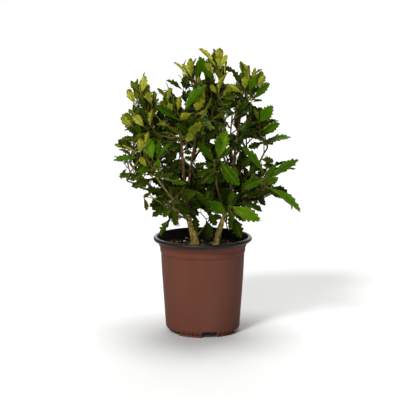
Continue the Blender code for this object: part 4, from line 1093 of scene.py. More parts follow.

# Sprays that stand out, picked in the photograph's pixels, with guessed depths in millimetres: the
# ends of their twigs, then each leaf's root, tip, width, side that shows, kind, tint and its ends' depths
# Each leaf's tint is partly its own colour and partly painted light: a leaf that shows lit or shining is
# given a paler tint, one in shade a darker one.
showSprays = {
    "upper left": {"mass": "foliage_top_left", "depth": -5,
        "twigs": [(142, 95.5), (135, 104.5), (153.4, 104.6), (146.5, 108.5)],
        "leaves": [
        (141.6, 94.2, 145.1, 75.1, 6.4, "under", "young", 2, -8, -14),
        (140, 92, 130.4, 81.8, 4.4, "top", "young", 0, 0, 4),
        (145, 92, 149.5, 84.6, 4.5, "top", "young", 0, 4, 14),
        (134.8, 104, 128.6, 90.6, 7.6, "under", "young", 2, -12, -20),
        (152, 104, 145.7, 92, 6.5, "under", "young", 1, -14, -22),
        (154, 104, 154.6, 91.5, 4.5, "top", "young", 0, 0, 8),
        (154, 103.5, 158.8, 98, 2.8, "top", "young", 1, -4, -4),
        (137, 101, 134.8, 88.5, 5, "top", "young", 0, 2, 10),
        (146, 108, 137, 97, 3.5, "top", "bright", 0, -10, -18)]},
    "left": {"mass": "foliage_left", "depth": -10,
        "twigs": [(145.5, 129), (134.5, 128.5), (149.4, 128), (135.5, 119), (141, 136)],
        "leaves": [
        (133, 126.6, 120.3, 116.6, 6, "under", "young", 1, -12, -16),
        (144.4, 127.4, 133.6, 114.2, 8.5, "under", "young", 2, -20, -30),
        (149.5, 127.4, 152.7, 108.7, 5.5, "under", "young", 1, -16, -20),
        (134, 116, 128.5, 108.5, 3.5, "top", "young", 1, 0, 2),
        (133, 122, 125, 112.5, 6, "top", "young", 0, 0, 8),
        (139, 134, 125.8, 127, 5, "top", "dark", 1, -10, -14),
        (141, 134, 137, 125.5, 4.2, "top", "bright", 1, -18, -26),
        (148, 120, 140, 108, 5, "top", "bright", 0, -8, -14)]},
    "left shoulder": {"mass": "foliage_upper_left", "depth": -20,
        "twigs": [(168, 103), (177.4, 113), (172.4, 113.5), (179.6, 121)],
        "leaves": [
        (166.5, 98.6, 156.6, 87.6, 4, "top", "young", 0, -5, -5),
        (169, 106, 166, 96, 3, "under", "young", 0, -6, -8),
        (157, 107.6, 150.6, 100, 4, "top", "dark", 0, -4, -4),
        (167.4, 101, 170, 86.8, 5.2, "under", "young", 1, -10, -16),
        (177.6, 112, 180, 95.6, 5.6, "under", "young", 1, -16, -20),
        (172, 113, 168.5, 102.5, 5.4, "under", "young", 1, -18, -24),
        (166.5, 108.5, 160.5, 100.5, 6.5, "top", "young", 1, -14, -20),
        (179, 120, 154.4, 105.3, 6.4, "top", "bright", 0, -30, -40)]},
    "dark shoot": {"mass": "foliage_upper_left", "depth": 15,
        "twigs": [(185, 92)],
        "leaves": [
        (182, 89.7, 165.4, 79.6, 5, "top", "dark", 1, 15, 15),
        (183.6, 89, 186.5, 75, 9, "top", "dark", 1, 13, 12),
        (186, 91, 188.4, 79, 5, "top", "dark", 0, 15, 12),
        (186, 94, 191.5, 90, 3.2, "top", "dark", 1, 13, 10),
        (186, 103.5, 183.4, 90, 5.6, "top", "dark", 0, 14, 12)]},
    "left of top": {"mass": "foliage_top_crown", "depth": 5,
        "twigs": [(192.6, 78.5), (196.6, 85.6)],
        "leaves": [
        (188.4, 77, 173, 61.6, 2.6, "under", "young", 2, 5, 0),
        (191.6, 77, 181.6, 63.5, 3, "under", "young", 2, 5, 4),
        (191.6, 76, 190, 57.5, 6.6, "under", "young", 1, 2, -4),
        (196.4, 80, 199, 62.6, 6, "top", "bright", 0, 8, 14),
        (197, 85, 199.8, 76.5, 5.5, "under", "young", 1, 2, -4)]},
    "top": {"mass": "foliage_top_centre", "depth": -15,
        "twigs": [(215, 81), (218.4, 70.6)],
        "leaves": [
        (218.3, 69.8, 219.6, 46.8, 7.8, "under", "young", 1, -20, -26),
        (219.8, 69, 226.9, 54.2, 5, "under", "young", 2, -18, -24),
        (216, 66.4, 198.4, 47.8, 2.8, "under", "young", 2, -16, -18),
        (217.4, 67, 212.6, 47.6, 4.4, "top", "young", 0, -12, -4),
        (218, 70, 222.8, 49, 4.5, "top", "young", 0, -12, -4),
        (217, 71, 214.2, 57, 5, "top", "dark", 2, -14, -14),
        (212.4, 80, 198.4, 55.6, 9.6, "top", "bright", 1, -22, -34),
        (214.5, 75, 205.2, 62.5, 5.6, "under", "young", 1, -26, -36)]},
    "top right": {"mass": "foliage_top_right", "depth": 5,
        "twigs": [(249.5, 93), (244.4, 91), (243, 80), (256, 88.4)],
        "leaves": [
        (242, 77, 239.8, 60, 2.2, "top", "young", 0, 5, 5),
        (243, 80, 250, 66.4, 4.6, "top", "young", 1, 4, 6),
        (245, 90, 245, 75.5, 8, "under", "young", 1, 0, -8),
        (249.7, 91, 254.6, 76.2, 6.4, "top", "bright", 2, -4, -12),
        (254.6, 88, 255.6, 66.6, 4.6, "under", "young", 1, 6, 6),
        (257, 86, 262, 70.4, 8, "top", "young", 0, 8, 14),
        (256.8, 87, 265.3, 75.6, 6.5, "under", "young", 1, 0, -6),
        (253.6, 99.5, 270.4, 83, 7.4, "top", "bright", 0, -2, -8),
        (240, 85.6, 230.6, 68.4, 5.6, "top", "dark", 2, 0, -4),
        (235, 71.8, 222.4, 66, 4.8, "top", "dark", 2, -4, -8),
        (242.8, 93.4, 225.6, 84, 6.4, "under", "young", 1, -14, -24),
        (246, 96, 262, 88, 5, "top", "dark", 1, 2, 4),
        (252, 102.5, 263, 100.5, 2.4, "top", "dark", 0, 0, 0)]},
    "centre right": {"mass": "foliage_upper_right", "depth": -25,
        "twigs": [(218.5, 96.6), (221, 101)],
        "leaves": [
        (218.3, 95.5, 226.2, 73.2, 4.2, "under", "young", 1, -27, -34),
        (217.5, 94, 210.2, 84.4, 4.6, "under", "young", 1, -27, -34),
        (222, 96, 231.5, 87.4, 5.4, "under", "young", 0, -27, -32),
        (212, 119, 226, 114, 4.2, "under", "bright", 1, -40, -44),
        (222, 98.5, 237, 94.4, 7.5, "top", "dark", 2, -30, -38),
        (219, 101, 214, 86, 4.5, "top", "bright", 0, -22, -16),
        (219, 104, 233, 102, 6, "top", "dark", 2, -28, -40),
        (217, 108, 203, 104, 6, "top", "dark", 2, -28, -38),
        (240, 99, 230, 107.6, 7, "top", "dark", 1, -14, -16)]},
    "centre left": {"mass": "foliage_front_up", "depth": -55,
        "twigs": [(197, 114), (184.4, 112.4), (205.4, 88)],
        "leaves": [
        (184, 111, 206.6, 84.4, 9.5, "top", "bright", 1, -55, -60),
        (205, 87, 196, 111.5, 10, "under", "young", 0, -62, -66),
        (192.5, 113, 179.6, 118.2, 6.6, "under", "young", 0, -58, -70),
        (184, 137, 168, 127, 5, "under", "bright", 0, -50, -54),
        (176, 135, 160, 133.4, 4, "under", "bright", 0, -44, -46),
        (196, 114.4, 208, 111, 4.6, "under", "young", 0, -60, -70),
        (199, 112, 212, 101, 6, "top", "dark", 2, -50, -52),
        (206, 141, 216, 129, 7, "top", "dark", 1, -20, -22),
        (196.6, 178, 208.6, 168.6, 6.4, "top", "dark", 2, -40, -46),
        (195.6, 168, 206, 162.6, 5, "top", "dark", 1, -34, -38)]},
    "right": {"mass": "foliage_right", "depth": -10,
        "twigs": [(259.6, 124), (262, 136.6), (264, 144)],
        "leaves": [
        (259.4, 122.5, 273.3, 105.2, 14, "top", "bright", 1, -14, -20),
        (258.9, 121, 239.2, 129.8, 4.6, "top", "bright", 1, -18, -26),
        (258.9, 130.4, 237, 141.2, 5.8, "top", "bright", 0, -20, -32),
        (261, 136.4, 280.4, 123, 7.6, "top", "bright", 0, -16, -22),
        (262, 129.6, 278.4, 122.2, 3, "under", "young", 1, -12, -14),
        (264, 142.4, 291.8, 137, 5.8, "top", "bright", 0, -10, -10),
        (262, 142.4, 248, 147.8, 6.2, "top", "dark", 2, -8, -12),
        (253, 117, 262, 107, 7.5, "top", "dark", 0, 0, 6),
        (259, 121, 254, 107.6, 4.5, "under", "bright", 1, -6, -8)]},
    "front": {"mass": "foliage_front", "depth": -95,
        "twigs": [(217.4, 162), (218.6, 170)],
        "leaves": [
        (218.2, 159.6, 225.4, 129.4, 14.5, "top", "bright", 2, -104, -84),
        (214, 162.4, 196.6, 141.2, 8.4, "top", "bright", 1, -102, -112),
        (219.2, 159.6, 231.2, 146.8, 5.4, "top", "bright", 0, -98, -96),
        (220.7, 161, 239.2, 186.4, 12.5, "top", "bright", 0, -104, -122),
        (214, 164, 205.4, 164.6, 5, "top", "bright", 0, -100, -108),
        (220, 166.4, 226.4, 175, 4.2, "under", "young", 2, -104, -114),
        (217, 168, 204.6, 171.6, 4.4, "top", "bright", 0, -98, -104),
        (219, 172, 208, 184, 6.5, "top", "dark", 2, -96, -106)]},
    "right low": {"mass": "foliage_right_low", "depth": -70,
        "twigs": [(268.4, 183), (266.6, 175.4)],
        "leaves": [
        (264.2, 173, 241.8, 146.6, 6.4, "top", "bright", 1, -78, -86),
        (269.6, 178.6, 299.6, 159, 7.4, "top", "bright", 0, -84, -92),
        (267.2, 177, 240.2, 188.6, 8.6, "top", "bright", 0, -86, -100),
        (268.2, 188, 301, 212.6, 9.4, "top", "bright", 2, -88, -104),
        (270.6, 187.8, 288.6, 194.2, 5.8, "top", "dark", 0, -70, -60),
        (267, 185, 278.6, 177.4, 9.4, "top", "bright", 0, -88, -96),
        (261, 159.6, 274, 161, 6, "top", "dark", 1, -60, -62),
        (262, 165, 274.6, 165.4, 6, "top", "dark", 0, -56, -58),
        (264, 190, 246, 197, 6.5, "top", "dark", 1, -74, -82),
        (246, 177, 263, 164, 6.4, "top", "dark", 1, -40, -44),
        (241, 171, 250.6, 155, 7, "top", "dark", 2, -30, -32),
        (259.6, 194, 264.8, 206.2, 4.4, "top", "dark", 0, -50, -52),
        (257, 194, 262.6, 205, 4.4, "top", "dark", 0, -46, -50)]},
    "front low right": {"mass": "foliage_front_low_right", "depth": -80,
        "twigs": [(228.2, 206.4), (231.4, 216.6)],
        "leaves": [
        (225.4, 215.4, 208.6, 200, 10.5, "top", "bright", 1, -84, -96),
        (231, 206.2, 261, 221, 12.4, "top", "bright", 2, -88, -108),
        (231, 210, 246.4, 221.6, 6.4, "top", "dark", 0, -80, -88),
        (229, 208.6, 232.6, 222.6, 6.6, "top", "dark", 1, -84, -92),
        (232.6, 216, 241.6, 238.4, 10, "top", "dark", 0, -70, -76),
        (228.6, 205, 233, 189.6, 6.4, "top", "dark", 2, -84, -92),
        (237, 203.4, 262.6, 211.6, 5, "top", "dark", 1, -74, -78),
        (231.6, 211, 229.6, 229.6, 6.4, "top", "dark", 1, -72, -78),
        (228, 204, 220, 194, 5, "top", "dark", 1, -40, -44)]},
    "foot": {"mass": "foliage_heart", "depth": 0,
        "twigs": [(206.4, 219), (201, 212.6), (206, 200)],
        "leaves": [
        (206.6, 221, 210.2, 238.4, 12.4, "top", "dark", 1, -8, -14),
        (194, 213, 197.6, 232, 6.4, "top", "dark", 1, -12, -18),
        (190, 209, 200, 206.4, 5.4, "top", "dark", 0, -16, -20),
        (211, 216, 222, 217, 6, "top", "dark", 0, -14, -16),
        (184, 208.5, 198, 215, 6.4, "top", "dark", 1, -20, -24),
        (208, 193, 197, 186, 6.4, "top", "dark", 1, 0, -4),
        (200, 205, 189, 199, 6.4, "top", "dark", 1, 0, -4),
        (232, 196, 219, 188, 7.4, "top", "dark", 1, 0, -6),
        (208.4, 212, 216.6, 226, 8, "top", "dark", 1, -14, -22)]},
    "front left": {"mass": "foliage_left_front", "depth": -92,
        "twigs": [(152.6, 168), (140.4, 156.4), (157.6, 160.6), (145.4, 149.6)],
        "leaves": [
        (152.6, 159.6, 147, 137.4, 12.5, "top", "bright", 2, -104, -76),
        (140.2, 154.4, 140.2, 137.4, 6.2, "under", "young", 1, -98, -104),
        (157.4, 159, 173.6, 141.6, 4.6, "top", "bright", 1, -100, -104),
        (153.8, 172, 159.4, 159.6, 6.4, "top", "bright", 2, -100, -106),
        (147, 167.4, 139.2, 157.2, 7.4, "under", "young", 1, -102, -110),
        (151, 169, 136.6, 171.8, 6.4, "top", "bright", 1, -102, -112),
        (158, 173, 143, 170.6, 5, "top", "dark", 1, -50, -56),
        (157.6, 158, 160.4, 139.4, 5.2, "top", "bright", 0, -94, -90),
        (145, 148, 148.6, 131, 5, "under", "young", 1, -96, -100)]},
    "left tip": {"mass": "foliage_left_tip", "depth": -40,
        "twigs": [(138.4, 158.8), (133.6, 174.2), (131.4, 149.4), (152.6, 177.6)],
        "leaves": [
        (137.8, 157.4, 112.8, 160.8, 6.4, "top", "bright", 1, -44, -50),
        (130, 148.6, 117.4, 139.4, 6.6, "top", "dark", 2, -40, -46),
        (134, 137.4, 120.6, 139.4, 4.4, "top", "dark", 1, -40, -44),
        (136, 152.2, 116.6, 146.2, 3.2, "under", "young", 1, -42, -46),
        (132.2, 172.6, 118.6, 176.8, 5, "top", "bright", 0, -44, -50),
        (152, 178.4, 130.8, 187, 8.4, "top", "dark", 1, -60, -72),
        (145, 171, 130, 181, 6.5, "top", "dark", 1, -50, -56)]},
    "low left": {"mass": "foliage_front_low_left", "depth": -60,
        "twigs": [(173.6, 205.4), (172, 216), (184.6, 187), (197, 191), (149.4, 194.6)],
        "leaves": [
        (169, 204.6, 151.4, 217, 7.6, "top", "dark", 2, -34, -60),
        (171.8, 208.6, 176, 226.4, 6.6, "top", "dark", 1, -80, -88),
        (171, 218, 160.4, 236.4, 5.8, "top", "dark", 1, -76, -86),
        (170, 201, 151.6, 200, 8.4, "top", "bright", 0, -10, -30),
        (163, 198, 149, 206.6, 6, "top", "dark", 1, -14, -20),
        (163, 203, 151.6, 210, 6, "top", "dark", 0, -20, -26),
        (184, 186, 165.4, 196, 9.6, "top", "dark", 2, -24, -14),
        (197, 190, 180, 199, 10.5, "top", "dark", 2, -76, -86),
        (152, 191.4, 143.4, 197.6, 4, "top", "young", 0, -50, -50),
        (143.4, 196.4, 146.6, 211, 3.6, "top", "young", 0, -50, -50),
        (170, 207, 163.5, 217.5, 6.4, "top", "dark", 2, -82, -90),
        (166, 194, 146, 188.4, 7.6, "top", "dark", 1, -24, -34),
        (176, 204, 190, 213, 8.5, "top", "dark", 1, -30, -40),
        (176, 199, 163, 196, 6, "top", "dark", 1, -10, -8),
        (172, 189, 157, 183, 8, "top", "dark", 1, 0, -6),
        (165, 182.5, 151, 180, 7, "top", "dark", 0, -4, -8)]},
    "behind the stems": {"mass": "foliage_back_top", "depth": 20,
        "twigs": [(198, 172), (192, 162)],
        "leaves": [
        (196, 160, 184, 157, 4.5, "top", "dark", 1, 20, 18),
        (191, 168.6, 184.4, 162, 4, "top", "dark", 0, 22, 20),
        (205, 171, 195, 163, 7, "top", "dark", 1, 24, 20),
        (199, 178, 184, 170.6, 7, "top", "dark", 1, 24, 20),
        (199, 176, 194, 167, 5, "top", "dark", 0, 26, 24)]},
    "behind the left": {"mass": "foliage_upper_left", "depth": 20,
        "twigs": [(186, 150), (178, 161)],
        "leaves": [
        (178, 150, 166.6, 160, 7, "top", "dark", 0, -10, -14),
        (179, 158, 171, 169, 6.4, "top", "dark", 1, -8, -12),
        (186, 143, 168, 150, 7, "top", "dark", 1, 20, 16),
        (180, 149, 169, 157, 4.5, "top", "dark", 0, 18, 16),
        (193, 152, 184, 152.5, 6.4, "top", "dark", 0, 18, 16),
        (176, 160, 163, 155.6, 4.6, "top", "dark", 0, 20, 16),
        (182, 166, 170, 163, 5, "top", "dark", 0, 22, 20),
        (172, 159.6, 160, 162.6, 5, "top", "dark", 1, 0, -4),
        (178, 134, 165, 127, 7, "top", "dark", 0, 24, 20),
        (166, 120, 156, 112, 7, "top", "dark", 0, 24, 20),
        (200, 147, 188, 141, 7, "top", "dark", 0, 24, 20)]},
    "behind the right": {"mass": "foliage_back_right", "depth": 40,
        "twigs": [(243, 171), (238, 160)],
        "leaves": [
        (262, 171, 247, 160.6, 8, "top", "dark", 0, 40, 40),
        (240, 150, 243, 165, 7, "top", "dark", 0, 44, 40),
        (236, 166, 229, 152.6, 6.4, "top", "dark", 0, 30, 26),
        (249, 182, 245, 167, 7, "top", "dark", 0, 40, 38),
        (257, 178, 266, 168, 7, "top", "dark", 0, 40, 38),
        (240, 173, 237, 158, 5, "top", "dark", 0, 30, 28)]},
}
# Each kind's usual width against its length, then the shares of it from which a leaf counts as facing the
# front, as the widest and as edge on, and how far past its root the stalk starts
shownLeaf = {"young": 0.31, "bright": 0.33, "dark": 0.35,
             "facing": 0.93, "widest": 1.45, "edgeOn": 0.2, "root": 0.06}


# The place in millimetres that a pixel of the photograph shows at a depth
def photoPlace(x, y, depth):
    u, v = (x - photo["middle"] - photo["right"]) / photo["focal"], (photo["middle"] - y) / photo["focal"]
    sin, cos = math.sin(photo["pitch"]), math.cos(photo["pitch"])
    run = (photo["away"] + depth) / (cos + v * sin)
    return np.array([u * run, float(depth), photo["height"] + (v * cos - sin) * run])


def wholeMillimetres(place):
    return [round(float(value)) for value in place]


# The openings on the crown's middle plane, in metres: middle, half width and half height
def openSky():
    out = []
    for x, y, across, high in (opening for area in skyGaps.values() for opening in area):
        place = photoPlace(x, y, 0)
        right, top = photoPlace(x + across, y, 0)[0], photoPlace(x, y - high, 0)[2]
        size = wholeMillimetres((right - place[0], top - place[2]))
        out.append((*wholeMillimetres(place[::2]), *(max(2, half) for half in size)))
    return np.array(out) * 0.001


# A shown leaf's root and tip in millimetres, its turn from facing the front and its width
def shownPlace(rootX, rootY, tipX, tipY, wide, side, kind, rootDepth, tipDepth):
    root, tip = photoPlace(rootX, rootY, rootDepth), photoPlace(tipX, tipY, tipDepth)
    length = np.linalg.norm(tip - root)
    width = (photoPlace(rootX + wide, rootY, rootDepth)[0] - root[0]) / (length * shownLeaf[kind])
    turn = 0 if width >= shownLeaf["facing"] else math.degrees(math.acos(max(width, shownLeaf["edgeOn"])))
    line, toEye = (tip - root) / length, np.array(cameraView["place"]) * 1000 - root
    normal = toEye / np.linalg.norm(toEye)
    normal = normal - line * (normal @ line)

    # How far a turn about the leaf's line lifts its upper side
    def lift(degrees):
        a = math.radians(degrees)
        return (normal * math.cos(a) + np.cross(line, normal) * math.sin(a))[2]

    base = 0 if side == "top" else 180
    turn = (max((base + turn, base - turn), key=lift) + 180) % 360 - 180
    width = round(min(width, shownLeaf["widest"]), 2) if width >= shownLeaf["facing"] else 1.0
    root = root + (root - tip) * shownLeaf["root"]
    return wholeMillimetres(root), wholeMillimetres(tip), round(turn), width


# How much of a shown leaf is kept clear, how much more of a limb, and how far behind it a leaf may start
sightEdge = {"ends": 0.96, "sides": 0.80, "limb": 1.1, "behind": 0.003}


# What shows from the front: light through the crown, and the leaves that nothing may hide
class Sight:
    def __init__(self):
        self.eye = np.array(cameraView["place"])
        self.gaps = openSky()
        self.shown = []

    # Where the lines from the front to the points cross the crown's middle plane
    def cross(self, points):
        run = points - self.eye
        spots = self.eye + run * (-self.eye[1] / run[:, 1:2])
        return spots[:, 0], spots[:, 2]

    # Keeps a leaf in view, as an ellipse on the middle plane with its depth
    def show(self, points, root, tip):
        x, z = self.cross(np.array(points))
        ends = self.cross(np.array([root, tip]))
        middle = np.array([ends[0].mean(), ends[1].mean()])
        line = np.array([ends[0][1] - ends[0][0], ends[1][1] - ends[1][0]])
        half = np.hypot(*line) / 2
        line = line / (2 * half)
        across = np.abs(-(x - middle[0]) * line[1] + (z - middle[1]) * line[0]).max()
        inside = half * sightEdge["ends"], across * sightEdge["sides"]
        self.shown.append((*middle, *line, *inside, np.mean([root[1], tip[1]])))

    # Keeps a stretch of a limb in view
    def showLimb(self, path, radii, start, end):
        first, last = round(start * (len(path) - 1)), round(end * (len(path) - 1))
        for i in range(first, last):
            a, b, r = path[i], path[i + 1], Vector((radii[i] * sightEdge["limb"], 0, 0))
            line = (b - a).normalized() * radii[i]
            self.show([a - r, a + r, b - r, b + r], a - line, b + line)

    # True if any point would close an opening or hide what is kept in view
    def blocked(self, points):
        points = np.array(points)
        x, z = self.cross(points)
        g = self.gaps
        if (np.hypot((x[:, None] - g[:, 0]) / g[:, 2], (z[:, None] - g[:, 1]) / g[:, 3]) < 1).any():
            return True
        if not self.shown:
            return False
        s = np.array(self.shown)
        dx, dz = x[:, None] - s[:, 0], z[:, None] - s[:, 1]
        onward = (dx * s[:, 2] + dz * s[:, 3]) / s[:, 4]
        across = (-dx * s[:, 3] + dz * s[:, 2]) / s[:, 5]
        inFront = points[:, 1:2] < s[:, 6] + sightEdge["behind"]
        return bool(((onward ** 2 + across ** 2 < 1) & inFront).any())


# Every leaf of the plant, by kind
class Leaves:
    def __init__(self, shapes, limbs):
        self.shapes, self.limbs, self.sight = shapes, limbs, Sight()
        self.heaps = {piece: Heap() for piece in leafPieces}
        self.taken, self.count = [], 0

    # The leaf from its root in a direction, with its upper side to the face
    def fit(self, shape, root, direction, face, length):
        side = direction.cross(face).normalized()
        face = side.cross(direction).normalized()
        frame = np.array([side, direction, face])
        return shape["points"] * length @ frame + np.array(root)

    # The leaf from its root to its tip. At a turn of 0 its upper side faces the front
    def fitBetween(self, shape, root, tip, turn, width):
        root, tip = Vector(root), Vector(tip)
        line = (tip - root).normalized()
        toEye = (Vector(cameraView["place"]) - root).normalized()
        normal = (toEye - line * toEye.dot(line)).normalized()
        normal.rotate(Quaternion(line, math.radians(turn)))
        chord = Vector(shape["points"][shape["tip"]])
        own = chord.normalized()
        ownNormal = (Vector((0, 0, 1)) - own * own.z).normalized()
        ownFrame = np.array([own.cross(ownNormal), own, ownNormal])
        newFrame = np.array([line.cross(normal), line, normal])
        points = shape["points"] * np.array([width, 1, 1]) * ((tip - root).length / chord.length)
        return points @ ownFrame.T @ newFrame + np.array(root)

    # Four faces that stand in for the leaf where it is tested against others, and its middle
    def standIn(self, points, shape):
        corners = [Vector(points[i]) for i in shape["proxy"]]
        return BVHTree.FromPolygons(corners, [(0, 1, 4), (0, 4, 2), (1, 3, 4), (4, 3, 2)]), corners[4]

    # The leaf's stand-in if it clears the limbs and the leaves that are there, and otherwise nothing
    def free(self, points, shape):
        tree, middle = self.standIn(points, shape)
        if tree.overlap(self.limbs):
            return None
        for other, spot in self.taken:
            if (spot - middle).length < leafing["near"] and tree.overlap(other):
                return None
        return tree, middle

    def put(self, kind, tint, shape, points, hold):
        self.taken.append(hold)
        finish = [{0: tint, 1: 3 + tint, 2: 6}[p] for p in shape["part"]]
        piece = kind
        if kind == "dark":
            piece = "front_dark" if points[0][1] < leafBuild["darkSplit"] else "back_dark"
        self.heaps[piece].add(points, shape["faces"], finish, shape["uv"])
        self.count += 1


# True near the crown's outside
def outside(point):
    middle, reach = leafing["middle"], leafing["reach"]
    return sum(((p - m) / r) ** 2 for p, m, r in zip(point, middle, reach)) > leafing["newGrowthAndShade"] ** 2


def chooseKind(kinds, rng):
    pick, total = rng.uniform(0, sum(kinds.values())), 0.0
    for kind, share in kinds.items():
        total += share
        if pick <= total:
            return kind
    return kind


# Leaves in a spiral up a twig, closer together and more upright to its tip
def leafTwig(leaves, name, path, bare, count, axes, rng, kind, tint):
    azimuth = rng.uniform(0, 2 * math.pi)
    (foot, top), (longest, loss, place) = leafing["spread"], leafing["sizes"]
    for k in range(count):
        rise = k / (count - 1)
        share = bare + (growth["twigEnd"] - bare) * rise ** leafing["gather"]
        root, axis = along(path, share), heading(path, min(share, 0.99))
        size = masses[name]["leaf"] * (longest - loss * abs(rise - place)) * rng.uniform(*leafing["sizeVary"])
        pitch = (foot + (top - foot) * rise) * rng.uniform(*leafing["vary"])
        for attempt in range(leafing["tries"]):
            swing = azimuth + leafing["swing"] * attempt * (-1) ** attempt
            length = size * (1 - leafing["shrink"] * attempt)
            direction = turnOut(axis, swing, math.radians(pitch))
            face = (axis - direction * axis.dot(direction)).normalized()
            seat = root + (direction - axis * axis.dot(direction)).normalized() * leafing["seat"]
            shape = leaves.shapes[kind][rng.randrange(leafBuild["shapes"])]
            points = leaves.fit(shape, seat, direction, face, length)
            checks = [Vector(points[i]) for i in shape["checks"]]
            if not clearOfPot(checks) or leaves.sight.blocked(checks):
                continue
            if not inSpace(name, checks, axes, leafing["room"], leafing["slack"]):
                continue
            hold = leaves.free(points, shape)
            if hold is None:
                continue
            ownTint = min(2, max(0, tint + rng.choice((-1, 0, 0, 0, 1))))
            leaves.put(kind, ownTint, shape, points, hold)
            break
        azimuth += growth["golden"]


# How a new twig picks its place: a narrow angle counts as nearer, and a place above it as farther
woodRank = {"wide": 1.5, "along": 0.8, "above": 0.03, "level": 0.002, "touching": 0.001}
# The twigs that carry the sprays and the stalks of their leaves: metres, and shares of their length
sprayWood = {
    "twig": {"near": 0.0020, "station": 0.008, "radius": (0.0011, 0.0011), "thicken": 0.008, "bow": 0.03,
             "sides": 8, "seed": 3},
    "stalk": {"near": 0.0012, "station": 0.006, "radius": (0.0008, 0.0007), "thicken": 0.006, "bow": 0.0,
              "sides": 6, "seed": 4},
    "sag": 0.06, "archTo": 0.6, "seed": 77,
}


# The best place on the wood for a twig to the point to leave, near and at a narrow angle, with its distance
def nearestWood(point, wood):
    best = None
    for path in wood:
        for a, b in zip(path, path[1:]):
            run = b - a
            t = max(0.0, min(1.0, (point - a).dot(run) / max(run.length_squared, 1e-12)))
            spot = a + run * t
            way = point - spot
            bend = way.normalized().dot(run.normalized()) if way.length > woodRank["touching"] else 1.0
            rank = way.length * (woodRank["wide"] - woodRank["along"] * bend)
            rank += woodRank["above"] if way.z < woodRank["level"] else 0.0
            if best is None or rank < best[0]:
                best = (rank, spot)
    return best[1], (point - best[1]).length


# A twig from the wood to its end, or nothing where the end is on the wood already
def reachTo(end, wood, style, heap):
    start, far = nearestWood(end, wood)
    if far < style["near"]:
        return None
    control = start.lerp(end, 0.5) + Vector((0, 0, -sprayWood["sag"] * far))
    control += (end - start).cross(Vector((0, 1, 0))) * style["bow"]
    path = bentPath(start, control, end, style["station"])
    foot, tip = style["radius"]
    addTwig(heap, path, (foot + style["thicken"] * far, tip), style["sides"], style["seed"])
    return path


# The sprays that stand out, each on twigs of its own that leave its mass's wood
def growSprays(woodOf, leaves, shootHeap):
    rng = random.Random(sprayWood["seed"])
    for spray in showSprays.values():
        wood = list(woodOf[spray["mass"]])
        for x, y in spray["twigs"]:
            end = Vector(wholeMillimetres(photoPlace(x, y, spray["depth"]))) * 0.001
            path = reachTo(end, wood, sprayWood["twig"], shootHeap)
            if path:
                wood.append(path)
        for *seen, kind, tint, rootDepth, tipDepth in spray["leaves"]:
            root, tip, turn, width = shownPlace(*seen, kind, rootDepth, tipDepth)
            root, tip = Vector(root) * 0.001, Vector(tip) * 0.001
            arched = sprayWood["archTo"]
            shape = min(leaves.shapes[kind], key=lambda s: abs(s["arch"] - rng.uniform(0.0, arched)))
            points = leaves.fitBetween(shape, root, tip, turn, width)
            reachTo(root, wood, sprayWood["stalk"], shootHeap)
            leaves.sight.show([points[i] for i in shape["checks"]], root, tip)
            leaves.put(kind, tint, shape, points, leaves.standIn(points, shape))


# Small twigs along the shoots, where there is room for them
def growTwiglets(name, shoots, axes, sight, rng):
    twiglets = []
    for path in shoots:
        for share in leafing["twigletShares"]:
            base, axis = along(path, share), heading(path, share)
            reach = (path[-1] - path[0]).length * leafing["twigletReach"] * rng.uniform(*leafing["vary"])
            for _ in range(leafing["tries"]):
                out = turnOut(axis, rng.uniform(0, 2 * math.pi), math.radians(leafing["twigletOpen"]))
                tip = base + out * reach + Vector((0, 0, reach * growth["shootUpturn"]))
                twiglet = bentPath(base, base + out * reach * 0.5, tip, reach / 3)
                inRoom = inSpace(name, twiglet[2:], axes, leafing["room"], leafing["slack"])
                if inRoom and clearOfPot(twiglet[1:]) and not sight.blocked(twiglet[1:]):
                    twiglets.append(twiglet)
                    break
    return twiglets


# Every mass again from its bough's tip, with its shoots, finer twigs and leaves
def growCrown(paths):
    axes, limbs = massAxes(paths), limbTree(paths)
    leaves = Leaves(leafShapes(), limbs)
    stemHeap, shootHeap = Heap(), Heap()
    stemOf, shootsOf, woodOf = {}, {}, {}
    for name, spec in masses.items():
        bough = paths[spec["on"]][0]
        stemOf[name] = massStem(bough, *axes[name])
        shootsOf[name] = growShoots(name, spec, stemOf[name], axes, limbs, random.Random(spec["seed"]))
        woodOf[name] = [bough, stemOf[name]] + shootsOf[name]
    for name, stretch in bareWood.items():
        leaves.sight.showLimb(*paths[name], *stretch)
    growSprays(woodOf, leaves, shootHeap)
    for name, spec in masses.items():
        rng = random.Random(spec["seed"] + leafing["seedShift"])
        stem, shoots = stemOf[name], shootsOf[name]
        twiglets = growTwiglets(name, shoots, axes, leaves.sight, rng)
        bough, radii = paths[spec["on"]]
        seat = bough[-1] - heading(bough, 1) * leafing["stemSeat"]
        ends = (radii[-1] * leafing["stemShare"], growth["shootRadius"][0])
        addTwig(stemHeap, [seat] + stem, ends, leafing["stemSides"], spec["seed"])
        for group, ends in ((shoots, growth["shootRadius"]), (twiglets, leafing["twigletRadius"])):
            for path in group:
                addTwig(shootHeap, path, ends, leafing["twigSides"], spec["seed"])
        plan = [(path, leafing["shootBare"], leafing["count"]) for path in shoots]
        plan += [(stem, leafing["stemBare"], leafing["count"])]
        plan += [(path, leafing["twigletBare"], leafing["twigletLeaves"]) for path in twiglets]
        for path, bare, number in plan:
            kind, tint = chooseKind(spec["kinds"], rng), rng.choice((0, 1, 2))
            # Inside the crown every leaf is of the dark kind and of its darker tints: partly the old leaves
            # there, partly painted shade in the crown's depth.
            if not outside(path[-1]):  # the crown's inside holds only old leaves
                kind, tint = "dark", rng.choice((0, 0, 1))
            leafTwig(leaves, name, path, bare, number, axes, rng, kind, tint)
    return leaves, stemHeap, shootHeap


def addTwig(heap, path, ends, sides, seed):
    fine = finePath(path, leafing["twigStation"])
    radii = [r * (1 + leafing["uneven"] * noise.noise(Vector((i * 0.9, seed, 0))))
             for i, r in enumerate(taper(fine, ends))]
    heap.add([tuple(p) for p in tubePoints(fine, radii, sides)], tubeFaces(len(fine), sides), 0)
